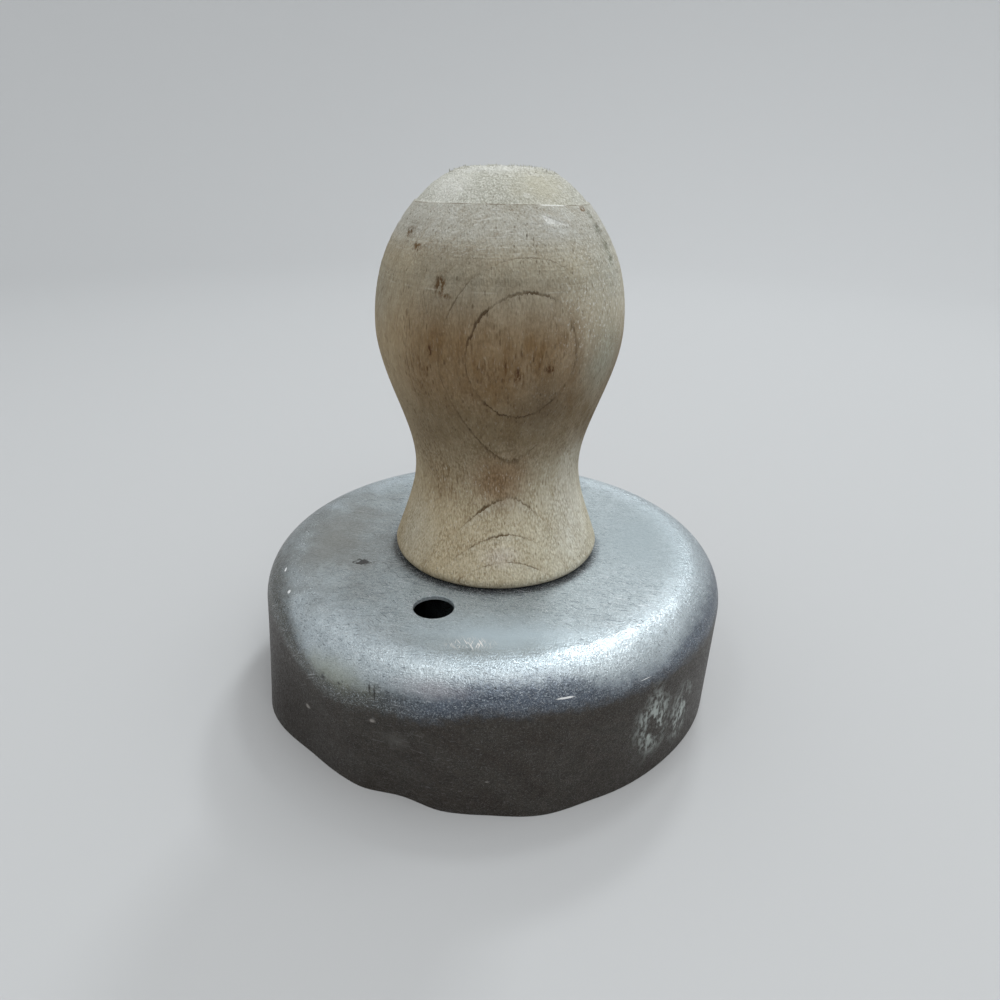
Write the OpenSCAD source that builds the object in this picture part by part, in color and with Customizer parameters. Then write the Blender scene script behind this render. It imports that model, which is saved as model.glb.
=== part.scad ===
// Doughnut cutter: a pressed aluminium cup with a turned wooden handle on top.
// A smaller cup inside cuts the hole, and one wood screw from below holds all three together.
// Millimetres, +Z up. The origin is on the axis, in the plane of the cutting rim.

/* [Cutter cup] */
// Outside diameter of the cup, which is the width of the doughnut
cup_d = 76; // [64:1:95]
// Height of the cup from its cutting rim to its flat top
cup_h = 23.5; // [20:0.5:32]
// Outside radius of the cup's rounded shoulder
cup_shoulder_r = 6; // [3:0.5:7]
// Thickness of the pressed sheet of both cups
sheet_t = 0.7; // [0.5:0.1:1.2]

/* [Worn rim] */
// How strongly use has bent the rim, from 0 for a round rim as pressed to 1 for the worn one
rim_wear = 1; // [0:0.1:1.5]
// How far the whole rim has been pushed off the axis
rim_lean = 0.4; // [0:0.1:1]
// Direction of that push round the axis, with the front at 270 degrees
rim_lean_angle = 143; // [0:1:359]

/* [Vent hole] */
// Diameter of the hole that lets air in behind the dough
vent_d = 6; // [4:0.5:8]
// Distance of the vent hole from the axis
vent_reach = 22.8; // [22:0.1:24]
// Direction of the vent hole round the axis, with the front at 270 degrees
vent_angle = 247; // [0:1:359]

/* [Hole cutter] */
// Outside diameter of the small cup, which is the width of the doughnut's hole
hole_d = 25; // [20:0.5:32]
// Outside radius of the small cup's rounded shoulder
hole_shoulder_r = 3; // [2:0.5:4]
// Height of the small cup's rim above the plane of the large cup's rim
hole_rim_lift = 0.3; // [0.2:0.1:1]

/* [Handle] */
// Diameter of the handle's foot at its widest
foot_d = 33.4; // [28:0.2:36]
// Radius of the rounded lower edge of the foot
foot_edge_r = 1.5; // [0.5:0.1:3]
// Lean of the foot's flare from upright, in degrees
foot_lean = 19; // [5:1:30]
// Diameter of the neck at its narrowest
neck_d = 26.3; // [20:0.1:28]
// Height of the narrowest part of the neck above the cup's top
neck_rise = 15.3; // [12:0.1:20]
// Diameter of the knob at its widest
knob_d = 37; // [32:0.5:40]
// Distance from the neck up to the widest part of the knob
knob_rise = 22; // [16:0.5:28]
// Diameter of the ridge that the lathe tool left below the cut end
ridge_d = 24.6; // [20:0.2:28]
// Distance from the widest part of the knob up to the ridge
crown_rise = 16.8; // [14:0.1:20]
// Lean of the crown from upright at the ridge, in degrees
crown_lean = 41.5; // [30:0.5:50]
// Depth of the step in from the ridge
ridge_step = 0.25; // [0.1:0.05:0.6]
// Height of the cut end above the ridge
cap_rise = 4.4; // [3:0.1:6]
// Diameter of the flat on the cut end
top_d = 8; // [6:0.5:12]

/* [Screw] */
// Diameter of the screw's shank
screw_d = 4.2; // [3.5:0.1:5]
// Length of the screw under its head
screw_l = 32; // [25:1:40]
// Length of the screw's point
point_l = 7; // [4:0.5:10]
// Flat left at the tip of the point
tip_d = 0.4; // [0.2:0.1:1]
// Diameter of the round head
head_d = 8; // [7:0.1:10]
// Height of the round head
head_h = 2.9; // [2.5:0.1:3.5]
// Height of the upright edge below the head's dome
head_edge = 0.5; // [0.3:0.1:0.8]
// Width of the slot in the head
slot_w = 1.2; // [0.8:0.1:1.6]
// Depth of the slot in the head
slot_depth = 1.6; // [1:0.1:1.9]

/* [Fits] */
// Room between the screw and the holes in the two cups, on each side
sheet_room = 0.2; // [0.1:0.05:0.4]
// Room between the screw and the pilot hole in the handle, on each side
pilot_room = 0.05; // [0.02:0.01:0.1]
// Depth of the pilot hole beyond the screw's tip
tip_room = 1.5; // [0.5:0.5:4]

/* [Hidden] */

// Fineness of the round surfaces
round_fn = 96;
// Steps in the lofted shoulder of the worn cup
shoulder_steps = 8;
// How far a cutting tool runs past the surface it cuts
overcut = 1;
// Width of the ring where the worn cup's loft laps its top plate
top_lap = 3;

// Bends in the worn rim: direction round the axis and half width, in degrees, and reach outwards
rim_bends = [[206, 20, 1.3], [228, 16, -0.25], [250, 11, -1], [281, 13, 0.7]];

// Heights of the seats, from the top down: handle on cup, small cup under cup, screw head under small cup
handle_seat_z = cup_h;
hole_seat_z = handle_seat_z - sheet_t;
screw_seat_z = hole_seat_z - sheet_t;

// Holes for the screw
sheet_hole_d = screw_d + 2 * sheet_room;
pilot_d = screw_d + 2 * pilot_room;
pilot_depth = screw_l - (handle_seat_z - screw_seat_z) + tip_room;

// Heights on the handle's profile, above the cup's top
knob_z = neck_rise + knob_rise;
ridge_z = knob_z + crown_rise;
top_z = ridge_z + cap_rise;

// Points on an arc about centre c from angle a0 to a1, in degrees
function arc(c, r, a0, a1, steps) =
    [for (i = [0:steps]) let (a = a0 + (a1 - a0) * i / steps) c + r * [cos(a), sin(a)]];

// Profile points after p up to q, both [radius, height], on a cubic whose ends lean by the given angles
function smooth_run(p, lean0, q, lean1, steps) =
    let (rise = q[1] - p[1])
    [for (i = [1:steps]) let (t = i / steps, u = 1 - t)
        [u * u * (1 + 2 * t) * p[0] + t * t * (3 - 2 * t) * q[0]
            - rise * t * u * (u * tan(lean0) - t * tan(lean1)),
         p[1] + rise * t]];

// Points after p on a bow from p to q that is drawn towards the corner
function bow(p, corner, q, steps) =
    [for (i = [1:steps]) let (t = i / steps)
        (1 - t) * (1 - t) * p + 2 * t * (1 - t) * corner + t * t * q];

// Half outline of the handle, from the axis at its foot round to the axis at its top
foot_edge = arc([foot_d / 2 - foot_edge_r, foot_edge_r], foot_edge_r, -90, foot_lean, 8);
flare_start = foot_edge[len(foot_edge) - 1];
neck = [neck_d / 2, neck_rise];
knob = [knob_d / 2, knob_z];
ridge = [ridge_d / 2, ridge_z];
cap_start = ridge - [ridge_step, 0];
cap_corner = [cap_start[0] - cap_rise * tan(crown_lean), top_z];
cap_end = [top_d / 2, top_z];
handle_outline = concat(
    [[0, 0]],
    foot_edge,
    smooth_run(flare_start, foot_lean, neck, 0, 12),
    smooth_run(neck, 0, knob, 0, 18),
    smooth_run(knob, 0, ridge, crown_lean, 14),
    [cap_start],
    bow(cap_start, cap_corner, cap_end, 8),
    [[0, top_z]]
);

// Share of a bend at t half widths from its middle, 1 there and 0 at its ends
function bell(t) = let (u = min(abs(t), 1)) 1 - u * u * (3 - 2 * u);

// Degrees from direction b to direction a, between -180 and 180
function turn(a, b) = (a - b + 540) % 360 - 180;

// Sum of the reach of all bends in direction a, from bend number i on
function bend_reach(a, i = 0) =
    i == len(rim_bends) ? 0 :
    rim_bends[i][2] * bell(turn(a, rim_bends[i][0]) / rim_bends[i][1]) + bend_reach(a, i + 1);

// How far the worn rim lies outside the round one in direction a
function rim_push(a) = rim_wear * (rim_lean * cos(a - rim_lean_angle) + bend_reach(a));

// Points round the axis through the profile point p, pushed out below wall_h as far as the rim's wear reaches
function worn_ring(p, wall_h) =
    let (share = max(0, 1 - p[1] / wall_h))
    [for (i = [0:round_fn - 1]) let (a = 360 * i / round_fn, q = p[0] + share * rim_push(a))
        [q * cos(a), q * sin(a), p[1]]];

// Shoulder and wall of a worn cup, one loft of rings that laps the top plate and is trimmed flat at the rim
module worn_side(d, h, shoulder_r) {
    n = round_fn;
    wall_h = h - shoulder_r;
    centre = [d / 2 - shoulder_r, wall_h];
    profile = concat(
        [[d / 2, -overcut]],
        arc(centre, shoulder_r, 0, 90, shoulder_steps),
        [[centre[0] - top_lap, h], [centre[0] - top_lap, h - sheet_t]],
        arc(centre, shoulder_r - sheet_t, 90, 0, shoulder_steps),
        [[d / 2 - sheet_t, -overcut]]
    );
    rows = len(profile);
    sides = [for (k = [0:rows - 1], i = [0:n - 1])
        let (next = (k + 1) % rows, j = (i + 1) % n)
        [k * n + i, next * n + i, next * n + j, k * n + j]];
    difference() {
        polyhedron(points = [for (p = profile) each worn_ring(p, wall_h)], faces = sides);
        translate([0, 0, -2 * overcut]) cylinder(d = 2 * d, h = 2 * overcut, $fn = round_fn);
    }
}

// Cup pressed from sheet, with its rim in the plane z = 0 bent by use
module worn_cup(d, h, shoulder_r) {
    worn_side(d, h, shoulder_r);
    translate([0, 0, h - sheet_t]) cylinder(r = d / 2 - shoulder_r - top_lap / 2, h = sheet_t, $fn = round_fn);
}

// Cup pressed from sheet, with its round rim in the plane z = 0
module pressed_cup(d, h, shoulder_r) {
    rotate_extrude($fn = round_fn) {
        translate([d / 2 - sheet_t, 0]) square([sheet_t, h - shoulder_r]);
        translate([0, h - sheet_t]) square([d / 2 - shoulder_r, sheet_t]);
        translate([d / 2 - shoulder_r, h - shoulder_r]) intersection() {
            difference() {
                circle(shoulder_r, $fn = round_fn);
                circle(shoulder_r - sheet_t, $fn = round_fn);
            }
            square(shoulder_r);
        }
    }
}

// Drill that goes right through the top of a cup of height h
module sheet_drill(d, h) {
    translate([0, 0, h - sheet_t - overcut]) cylinder(d = d, h = sheet_t + 2 * overcut, $fn = round_fn);
}

module handle() {
    color("BurlyWood")
    translate([0, 0, handle_seat_z])
    difference() {
        rotate_extrude($fn = round_fn) polygon(handle_outline);
        translate([0, 0, -overcut]) cylinder(d = pilot_d, h = pilot_depth + overcut, $fn = round_fn);
    }
}

module cutter_cup() {
    color("Silver")
    difference() {
        worn_cup(cup_d, cup_h, cup_shoulder_r);
        sheet_drill(sheet_hole_d, cup_h);
        rotate(vent_angle) translate([vent_reach, 0, 0]) sheet_drill(vent_d, cup_h);
    }
}

module hole_cutter() {
    hole_h = hole_seat_z - hole_rim_lift;
    color("LightGray")
    translate([0, 0, hole_rim_lift])
    difference() {
        pressed_cup(hole_d, hole_h, hole_shoulder_r);
        sheet_drill(sheet_hole_d, hole_h);
    }
}

// Round-headed wood screw, head down and point up into the handle
module handle_screw() {
    dome_h = head_h - head_edge;
    dome_r = (head_d * head_d / 4 + dome_h * dome_h) / (2 * dome_h);
    color("DimGray")
    translate([0, 0, screw_seat_z]) {
        cylinder(d = screw_d, h = screw_l - point_l, $fn = round_fn);
        translate([0, 0, screw_l - point_l]) cylinder(d1 = screw_d, d2 = tip_d, h = point_l, $fn = round_fn);
        difference() {
            mirror([0, 0, 1]) rotate_extrude($fn = round_fn) intersection() {
                translate([0, head_h - dome_r]) circle(dome_r, $fn = round_fn);
                square([head_d / 2, head_h]);
            }
            translate([-slot_w / 2, -head_d, -head_h - overcut])
                cube([slot_w, 2 * head_d, slot_depth + overcut]);
        }
    }
}

handle();
cutter_cup();
hole_cutter();
handle_screw();
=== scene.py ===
# %% [markdown]
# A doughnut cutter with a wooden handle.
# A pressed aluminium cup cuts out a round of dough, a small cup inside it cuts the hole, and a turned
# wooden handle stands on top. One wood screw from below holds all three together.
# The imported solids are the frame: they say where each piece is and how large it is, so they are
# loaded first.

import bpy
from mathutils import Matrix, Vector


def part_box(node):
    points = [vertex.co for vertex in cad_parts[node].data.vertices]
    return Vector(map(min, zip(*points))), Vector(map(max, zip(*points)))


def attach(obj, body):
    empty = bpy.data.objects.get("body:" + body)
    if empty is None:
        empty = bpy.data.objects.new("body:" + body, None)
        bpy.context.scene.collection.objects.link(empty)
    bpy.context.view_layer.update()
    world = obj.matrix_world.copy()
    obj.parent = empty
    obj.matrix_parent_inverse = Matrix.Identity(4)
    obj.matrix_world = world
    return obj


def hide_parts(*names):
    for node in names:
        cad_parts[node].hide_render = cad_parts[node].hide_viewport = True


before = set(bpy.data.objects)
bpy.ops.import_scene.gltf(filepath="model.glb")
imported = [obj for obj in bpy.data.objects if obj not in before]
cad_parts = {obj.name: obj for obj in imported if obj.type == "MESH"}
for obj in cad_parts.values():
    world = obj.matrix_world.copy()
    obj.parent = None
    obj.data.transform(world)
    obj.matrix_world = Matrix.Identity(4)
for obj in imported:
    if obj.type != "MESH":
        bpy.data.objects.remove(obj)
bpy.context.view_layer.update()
print("solids in the frame:", sorted(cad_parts))

# %% [markdown]
# Blender counts in metres, but a hand tool is easier to think about in millimetres.
# All sizes below are in millimetres, and MM turns them into metres when a mesh is made.
# The sizes that the frame knows are read from it, and only the curves in between are written down.

# %% Units and the sizes of the pieces
import math

import bmesh
import bpy
import numpy as np
from mathutils import Matrix, Vector, noise

MM = 0.001


def box_mm(node):
    """Lowest and highest corner of a solid, in millimetres."""
    low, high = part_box(node)
    return np.array(low) / MM, np.array(high) / MM


_, cup_high = box_mm("cutter_cup")
handle_low, handle_high = box_mm("handle")
small_low, small_high = box_mm("hole_cutter")
screw_low, screw_high = box_mm("handle_screw")
cup_r = cup_high[0]
cup_h = cup_high[2]
seat_z = handle_low[2]
sheet = cup_h - small_high[2]
print(f"cup {2 * cup_r:.1f} wide and {cup_h:.1f} high, sheet {sheet:.2f}, all {handle_high[2]:.1f} high")

# %% [markdown]
# The camera stands where the photograph was taken: close in front, a little above the handle,
# and looking down. Its lens comes from the focal length in pixels, so a square picture of
# 1000 pixels shows the object at the photograph's size and place.

# %% Camera
picture_side_px = 1000.0
focal_px = 760.0
sensor_mm = 36.0
camera_place = Vector((0.0, -114.9, 84.7)) * MM
look_down = math.radians(25.0)
look_right = math.radians(0.28)
camera_roll = math.radians(1.15)
nearest_seen = 5.0

camera_data = bpy.data.cameras.new("photo_camera")
camera_data.sensor_width = sensor_mm
camera_data.lens = sensor_mm * focal_px / picture_side_px
camera_data.clip_start = nearest_seen * MM
camera = bpy.data.objects.new("photo_camera", camera_data)
aim = Matrix.Rotation(-look_right, 4, "Z") @ Matrix.Rotation(math.pi / 2 - look_down, 4, "X")
camera.matrix_world = Matrix.Translation(camera_place) @ aim @ Matrix.Rotation(camera_roll, 4, "Z")
bpy.context.scene.collection.objects.link(camera)
bpy.context.scene.camera = camera
print(f"lens {camera_data.lens:.2f} mm")

# %% [markdown]
# Every piece is a grid of points that goes round an axis, because all of them were turned or pressed.
# Blender's Screw modifier could spin an outline too, but then a row would have one radius all round.
# Working on the whole grid of points lets wear, dents and torn grain move single points.
# The first helpers are soft steps and noise, which say how far a point is moved.

# %% Helpers for wear
def smooth_step(low, high, value):
    """0 below low, 1 above high, with a soft run between them."""
    t = np.clip((np.asarray(value, float) - low) / (high - low), 0, 1)
    return t * t * (3 - 2 * t)


def bump(centre, half_width, value):
    """1 at the centre, falling softly to 0 at half_width on each side."""
    return 1 - smooth_step(0, half_width, np.abs(np.asarray(value, float) - centre))


def angle_gap(angle, centre):
    """Degrees from centre to angle, between -180 and 180."""
    return (np.asarray(angle, float) - centre + 180) % 360 - 180


def noise_at(points, size, seed=0.0):
    """Smooth noise from about -1 to 1 at each point. size is the width of its lumps along X, Y and Z."""
    scaled = np.asarray(points, float).reshape(-1, 3) / np.asarray(size, float) + seed
    return np.array([noise.noise(Vector(p)) for p in scaled])


print("noise at the origin and half a lump away:", noise_at([(0, 0, 0), (0.5, 0.5, 0.5)], (1, 1, 1)))

# %% [markdown]
# The next helpers turn rows of points into a mesh object, and tie each finished piece to the frame.
# Flat quads with smooth shading are enough, because the grids are fine. Only edges with a
# sharp fold, such as the edge of the screw's head, are kept sharp.

# %% Helpers for turned pieces
def ring_faces(rows, segments, keep=lambda row, segment: True):
    """Quads between rows of points round the axis. They face out where the rows run outwards and down."""
    faces = []
    for i in range(rows - 1):
        for j in range(segments):
            k = (j + 1) % segments
            if keep(i, j):
                faces.append((i * segments + j, (i + 1) * segments + j,
                              (i + 1) * segments + k, i * segments + k))
    return faces


def fan_faces(pole, first, segments, flip=False):
    """Triangles from one point on the axis to a row that starts at point first."""
    row = [(first + j, first + (j + 1) % segments) for j in range(segments)]
    return [(pole, b, a) if flip else (pole, a, b) for a, b in row]


def mesh_object(name, points, faces, sharp_angle):
    """A smooth shaded object from points in millimetres, with edges sharper than sharp_angle kept sharp."""
    mesh = bpy.data.meshes.new(name)
    mesh.from_pydata((np.asarray(points) * MM).tolist(), [], faces)
    mesh.shade_smooth()
    mesh.set_sharp_from_angle(angle=math.radians(sharp_angle))
    made = bpy.data.objects.new(name, mesh)
    bpy.context.scene.collection.objects.link(made)
    return made


def stand_in(piece, node):
    """The piece moves with the cutter and hides its plain solid."""
    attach(piece, "root")
    if node:
        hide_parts(node)
    print(f"{piece.name}: {len(piece.data.vertices)} points, {len(piece.data.polygons)} faces")


# %% [markdown]
# An outline is a list of points, each a radius and a height. It is put together from four kinds of run:
# an arc, a straight line, a cubic whose ends have a given lean, and a bow towards a corner. A drawn curve
# object would hold the same lines, but with formulas they stay tied to the sizes of the solids.

# %% Helpers for outlines
def arc(centre, radius, start, end, steps):
    """Points [radius, height] on an arc between two angles in degrees."""
    a = np.radians(np.linspace(start, end, steps + 1))
    return np.stack([centre[0] + radius * np.cos(a), centre[1] + radius * np.sin(a)], -1)


def straight(start, end, steps):
    """Points after start up to end on a straight line."""
    t = np.linspace(0, 1, steps + 1)[1:, None]
    return (1 - t) * np.array(start) + t * np.array(end)


def smooth_run(start, start_lean, end, end_lean, steps):
    """Points after start up to end on a cubic whose ends lean from upright by the given angles."""
    t = np.linspace(0, 1, steps + 1)[1:]
    u = 1 - t
    rise = end[1] - start[1]
    lean = u * math.tan(math.radians(start_lean)) - t * math.tan(math.radians(end_lean))
    radius = u * u * (1 + 2 * t) * start[0] + t * t * (3 - 2 * t) * end[0] - rise * t * u * lean
    return np.stack([radius, start[1] + rise * t], -1)


def bow(start, corner, end, steps):
    """Points after start up to end on a curve that is drawn towards a corner."""
    t = np.linspace(0, 1, steps + 1)[1:, None]
    return (1 - t) ** 2 * np.array(start) + 2 * t * (1 - t) * np.array(corner) + t * t * np.array(end)


print("an arc of a quarter turn:", arc((0, 0), 1, 0, 90, 2).round(3).tolist())

# %% [markdown]
# The handle was turned on a lathe, so its outline is a string of smooth runs: a rounded foot, a waist,
# a knob, and a cut end above a thin ridge where the tool stopped. The list starts in the pilot hole for
# the screw and ends in the middle of the cut end, and is then turned over so that it runs downwards.

# %% Outline of the handle
knob_r = (handle_high[0] - handle_low[0]) / 2
handle_h = handle_high[2] - seat_z
foot_r = 16.7
foot_edge_r = 1.5
foot_lean = 19.0
neck_r = 13.15
neck_z = 15.3
knob_z = 37.3
ridge_r = 12.3
crown_lean = 41.5
ridge_z = 54.1
ridge_step = 0.25
top_r = 4.0
middle_r = 0.4
pilot_r = 2.15
pilot_depth = 32.1

foot_edge = arc((foot_r - foot_edge_r, foot_edge_r), foot_edge_r, -90, foot_lean, 12)
cap_start = (ridge_r - ridge_step, ridge_z)
cap_corner = (cap_start[0] - (handle_h - ridge_z) * math.tan(math.radians(crown_lean)), handle_h)
outline = np.concatenate([
    [(pilot_r, pilot_depth)],
    straight((pilot_r, pilot_depth), (pilot_r, 0), 8),
    straight((pilot_r, 0), foot_edge[0], 12),
    foot_edge[1:],
    smooth_run(foot_edge[-1], foot_lean, (neck_r, neck_z), 0, 48),
    smooth_run((neck_r, neck_z), 0, (knob_r, knob_z), 0, 84),
    smooth_run((knob_r, knob_z), 0, (ridge_r, ridge_z), crown_lean, 84),
    [cap_start],
    bow(cap_start, cap_corner, (top_r, handle_h), 30),
    straight((top_r, handle_h), (middle_r, handle_h), 14),
])[::-1]
print("points on the handle's outline:", len(outline))

# %% [markdown]
# A real turned handle isn't perfect: dry wood is never quite round, and this ridge lies a little higher
# in front. The outline becomes a grid of radii and heights, one row for each of its points, and these
# first two faults are put into it.

# %% Grid of the handle
segments = 264
ridge_lift = 0.45
ridge_lift_band = 6.0
out_of_round = 0.05
out_of_round_turn = 0.7

turn = np.radians(np.arange(segments) * 360 / segments)
grid_r = np.repeat(outline[:, 0:1], segments, 1)
grid_z = np.repeat(outline[:, 1:2], segments, 1)
front = np.clip(-np.sin(turn), 0, 1)[None, :] ** 2
grid_z = grid_z + ridge_lift * front * bump(ridge_z, ridge_lift_band, grid_z) * (grid_z > knob_z)
grid_r = grid_r * (1 + out_of_round / knob_r * np.cos(2 * (turn - out_of_round_turn)))[None, :]
print("grid of the handle:", grid_r.shape)

# %% [markdown]
# The lathe tool left fine rings on the crown, and the cut end tore and stayed rough. These show on the
# outline and catch the light, so they are moved points and not only a bump map. The wood's fibres run
# upwards, so the noise that moves the points is stretched upwards too.

# %% Tool rings and torn grain
lump_depth = 0.05
tool_ring_depth = 0.05
tool_ring_width = 0.5
cap_fibre_depth = 0.09
cap_tear_depth = 0.06
end_fibre_depth = 0.16
end_tear_depth = 0.22
fibre_size = (0.45, 0.45, 1.3)
tear_size = (1.6, 1.2, 5.0)
lump_size = (5, 5, 9)
tear_seed = 3.7
no_change = 90.0
cap_starts = (ridge_z + 0.1, ridge_z + 0.8)
end_grain_starts = (handle_h - 1.6, handle_h - 0.1)
tool_rings_start = (knob_z + 1, knob_z + 9)

grid = np.stack([grid_r * np.cos(turn), grid_r * np.sin(turn), grid_z], -1)
line_z = outline[:, 1:2]
cap = smooth_step(*cap_starts, line_z)
end_grain = smooth_step(*end_grain_starts, line_z)
crown = smooth_step(*tool_rings_start, line_z) * (1 - cap)
tool_rings = noise_at(np.repeat(line_z, 3, 1), (tool_ring_width, no_change, no_change))[:, None]
soft_lumps = noise_at(grid, lump_size).reshape(grid_r.shape)
fibres = noise_at(grid, fibre_size).reshape(grid_r.shape)
tear = noise_at(grid, tear_size, tear_seed).reshape(grid_r.shape)
relief = lump_depth * soft_lumps + tool_ring_depth * crown * tool_rings
relief = relief + cap * (cap_fibre_depth * fibres + cap_tear_depth * tear)
relief = relief + end_grain * (end_fibre_depth * fibres + end_tear_depth * tear)
print(f"relief of the wood: {relief.min():.2f} to {relief.max():.2f} mm")

# %% [markdown]
# A splinter came off under the ridge and left a pale, shallow triangle. It is laid out from its lower left
# corner, with one distance round the handle and one upwards, and three straight sides. The same sides
# will colour it later.

# %% Splinter under the ridge
splinter_corner = Vector((5.72, -12.48, 75.85))
splinter_right = Vector((-splinter_corner.y, splinter_corner.x, 0)).normalized()
splinter_depth = 0.22
splinter_side = 0.2
splinter_top = 0.88
top_slope = 0.39
base_slope = 0.12
end_slope = 0.6

splinter_turn = math.atan2(splinter_corner.y, splinter_corner.x)
along = np.sin(turn - splinter_turn)[None, :] * grid_r
up = grid_z + seat_z - splinter_corner.z
splinter = smooth_step(0, splinter_side, splinter_top - top_slope * along - up)
splinter = splinter * smooth_step(0, splinter_side, up + base_slope * along)
splinter = splinter * smooth_step(0, splinter_side, along + end_slope * up)
splinter = splinter * (np.cos(turn - splinter_turn) > 0)
relief = relief - splinter_depth * splinter
print("grid points in the splinter:", int((splinter > 0.5).sum()))

# %% [markdown]
# Now the relief moves each point along the outline's normal, except in the pilot hole, and the grid becomes
# a mesh. A point on the axis closes it at the top, and another one at the tip of the pilot hole.
# The mesh also keeps how far along the outline each point lies above the ridge, as an attribute. The
# wood reads it later, because a height alone can't tell the crown from the cut end beside it.

# %% Handle
pilot_tip = 1.2

outer = (outline[:, 0] > pilot_r + 0.01) | (outline[:, 1] > pilot_depth + 1)
tangent = np.gradient(outline, axis=0)
tangent /= np.linalg.norm(tangent, axis=1, keepdims=True)
relief = relief * outer[:, None]
grid_r = grid_r - tangent[:, 1:2] * relief
grid_z = grid_z + tangent[:, 0:1] * relief
points = np.stack([grid_r * np.cos(turn), grid_r * np.sin(turn), grid_z + seat_z], -1).reshape(-1, 3)
top_pole = len(points)
last_row = (len(outline) - 1) * segments
poles = [(0, 0, points[:segments, 2].mean()), (0, 0, seat_z + pilot_depth + pilot_tip)]
points = np.concatenate([points, poles])
faces = ring_faces(len(outline), segments)
faces += fan_faces(top_pole, 0, segments)
faces += fan_faces(top_pole + 1, last_row, segments, flip=True)
handle = mesh_object("turned_handle", points, faces, sharp_angle=60)


def height_guide(made, values):
    """Stores how far along the outline each point lies above the handle's ridge, for the wood to read."""
    guide = made.data.attributes.new("above_ridge", "FLOAT", "POINT")
    guide.data.foreach_set("value", np.asarray(values, np.float32))


run = np.concatenate([[0], np.cumsum(np.linalg.norm(np.diff(outline, axis=0), axis=1))])
ridge_row = int(np.argmin(np.hypot(outline[:, 0] - ridge_r, outline[:, 1] - ridge_z)))
ridge_run = run[ridge_row]
height_guide(handle, np.concatenate([np.repeat(ridge_run - run, segments), [ridge_run, -run[-1]]]))
stand_in(handle, "handle")

# %% [markdown]
# The cut end of the wood is fuzzy with torn fibres. Hair particles would be far too many and too thin,
# so a few hundred small closed needles stand on the end grain, each with a random lean and length.
# The random numbers start from a fixed seed, so the same fuzz grows each time.

# %% Torn fibres on the cut end
needle_count = 420
fuzzy_r = 7.6
bare_middle = 0.02
needle_height = (0.12, 0.34)
long_share = 0.12
long_factor = 1.5
needle_width = (0.05, 0.12)
needle_lean = 0.35
needle_root = 0.1

dice = np.random.default_rng(7)
cap_radii = outline[:ridge_row, 0]
needle_points = []
needle_faces = []
for _ in range(needle_count):
    reach = fuzzy_r * math.sqrt(dice.uniform(bare_middle, 1))
    around = dice.uniform(0, 2 * math.pi)
    row = int(np.argmin(np.abs(cap_radii - reach)))
    column = int(around / (2 * math.pi) * segments) % segments
    foot = points[row * segments + column]
    height = dice.uniform(*needle_height) * (long_factor if dice.uniform() < long_share else 1)
    width = dice.uniform(*needle_width)
    sideways = dice.normal(0, needle_lean, 2) * height
    first = len(needle_points)
    for corner in range(3):
        a = around + corner * 2 * math.pi / 3
        needle_points.append(foot + [width * math.cos(a), width * math.sin(a), -needle_root])
    needle_points.append(foot + [sideways[0], sideways[1], height])
    needle_faces += [(first, first + 1, first + 3), (first + 1, first + 2, first + 3),
                     (first + 2, first, first + 3), (first, first + 2, first + 1)]
torn_fibres = mesh_object("torn_fibres", needle_points, needle_faces, sharp_angle=20)
height_guide(torn_fibres, np.full(len(needle_points), ridge_run))
stand_in(torn_fibres, None)

# %% [markdown]
# Each cup is one thin sheet, pressed over a round form: a flat top, a rounded shoulder and a wall.
# Only its outer face is drawn as a grid. Blender's Solidify modifier gives it the thickness of the
# sheet and Bevel rounds the cut edges, so the wall stays even however the grid is dented later.
# Solidify's material offset gives the inside and the cut edges the object's second material.

# %% Pressed cups
edge_round = 0.14
sharper_than = 60


def cup_outline(radius, height, shoulder_r, hole_r, steps):
    """Outline of a cup's outer face from the screw hole out over the shoulder and down to the rim."""
    top, round_steps, wall = steps
    shoulder = arc((radius - shoulder_r, height - shoulder_r), shoulder_r, 90, 0, round_steps)
    return np.concatenate([
        [(hole_r, height)],
        straight((hole_r, height), shoulder[0], top),
        shoulder[1:],
        straight(shoulder[-1], (radius, 0), wall),
    ])


def turned_grid(line, segments, start_angle=0.0):
    """Points of an outline turned round the axis, row by row."""
    a = math.radians(start_angle) + np.arange(segments) * 2 * math.pi / segments
    return np.stack([np.outer(line[:, 0], np.cos(a)), np.outer(line[:, 0], np.sin(a)),
                     np.repeat(line[:, 1:2], segments, 1)], -1).reshape(-1, 3)


def pressed(cup):
    """Gives a drawn face the thickness of the sheet and rounds its cut edges."""
    shell = cup.modifiers.new("sheet_thickness", "SOLIDIFY")
    shell.thickness = sheet * MM
    shell.offset = -1
    shell.use_even_offset = True
    shell.material_offset = 1
    shell.material_offset_rim = 1
    edge = cup.modifiers.new("cut_edges", "BEVEL")
    edge.width = edge_round * MM
    edge.segments = 2
    edge.limit_method = "ANGLE"
    edge.angle_limit = math.radians(sharper_than)
    edge.harden_normals = True


print(f"sheet {sheet:.2f} thick, with its cut edges rounded by {edge_round}")

# %% [markdown]
# The vent hole was punched through the top, in front of the handle. A Boolean modifier could cut it, but it
# would leave long thin faces that shade badly. So a window is left open in the grid, and rings of quads
# lead from its frame to the circle.

# %% Vent hole in the grid of the cutter cup
shoulder_r = 6.0
screw_hole_r = 2.3
vent_r = 3.0
vent_reach = 22.8
vent_angle = 247.0
cup_segments = 256
top_rows = 48
window_half = 8
window_margin = 4.6
ring_shares = [0.3, 0.58, 0.8, 0.93, 1.0]

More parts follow.
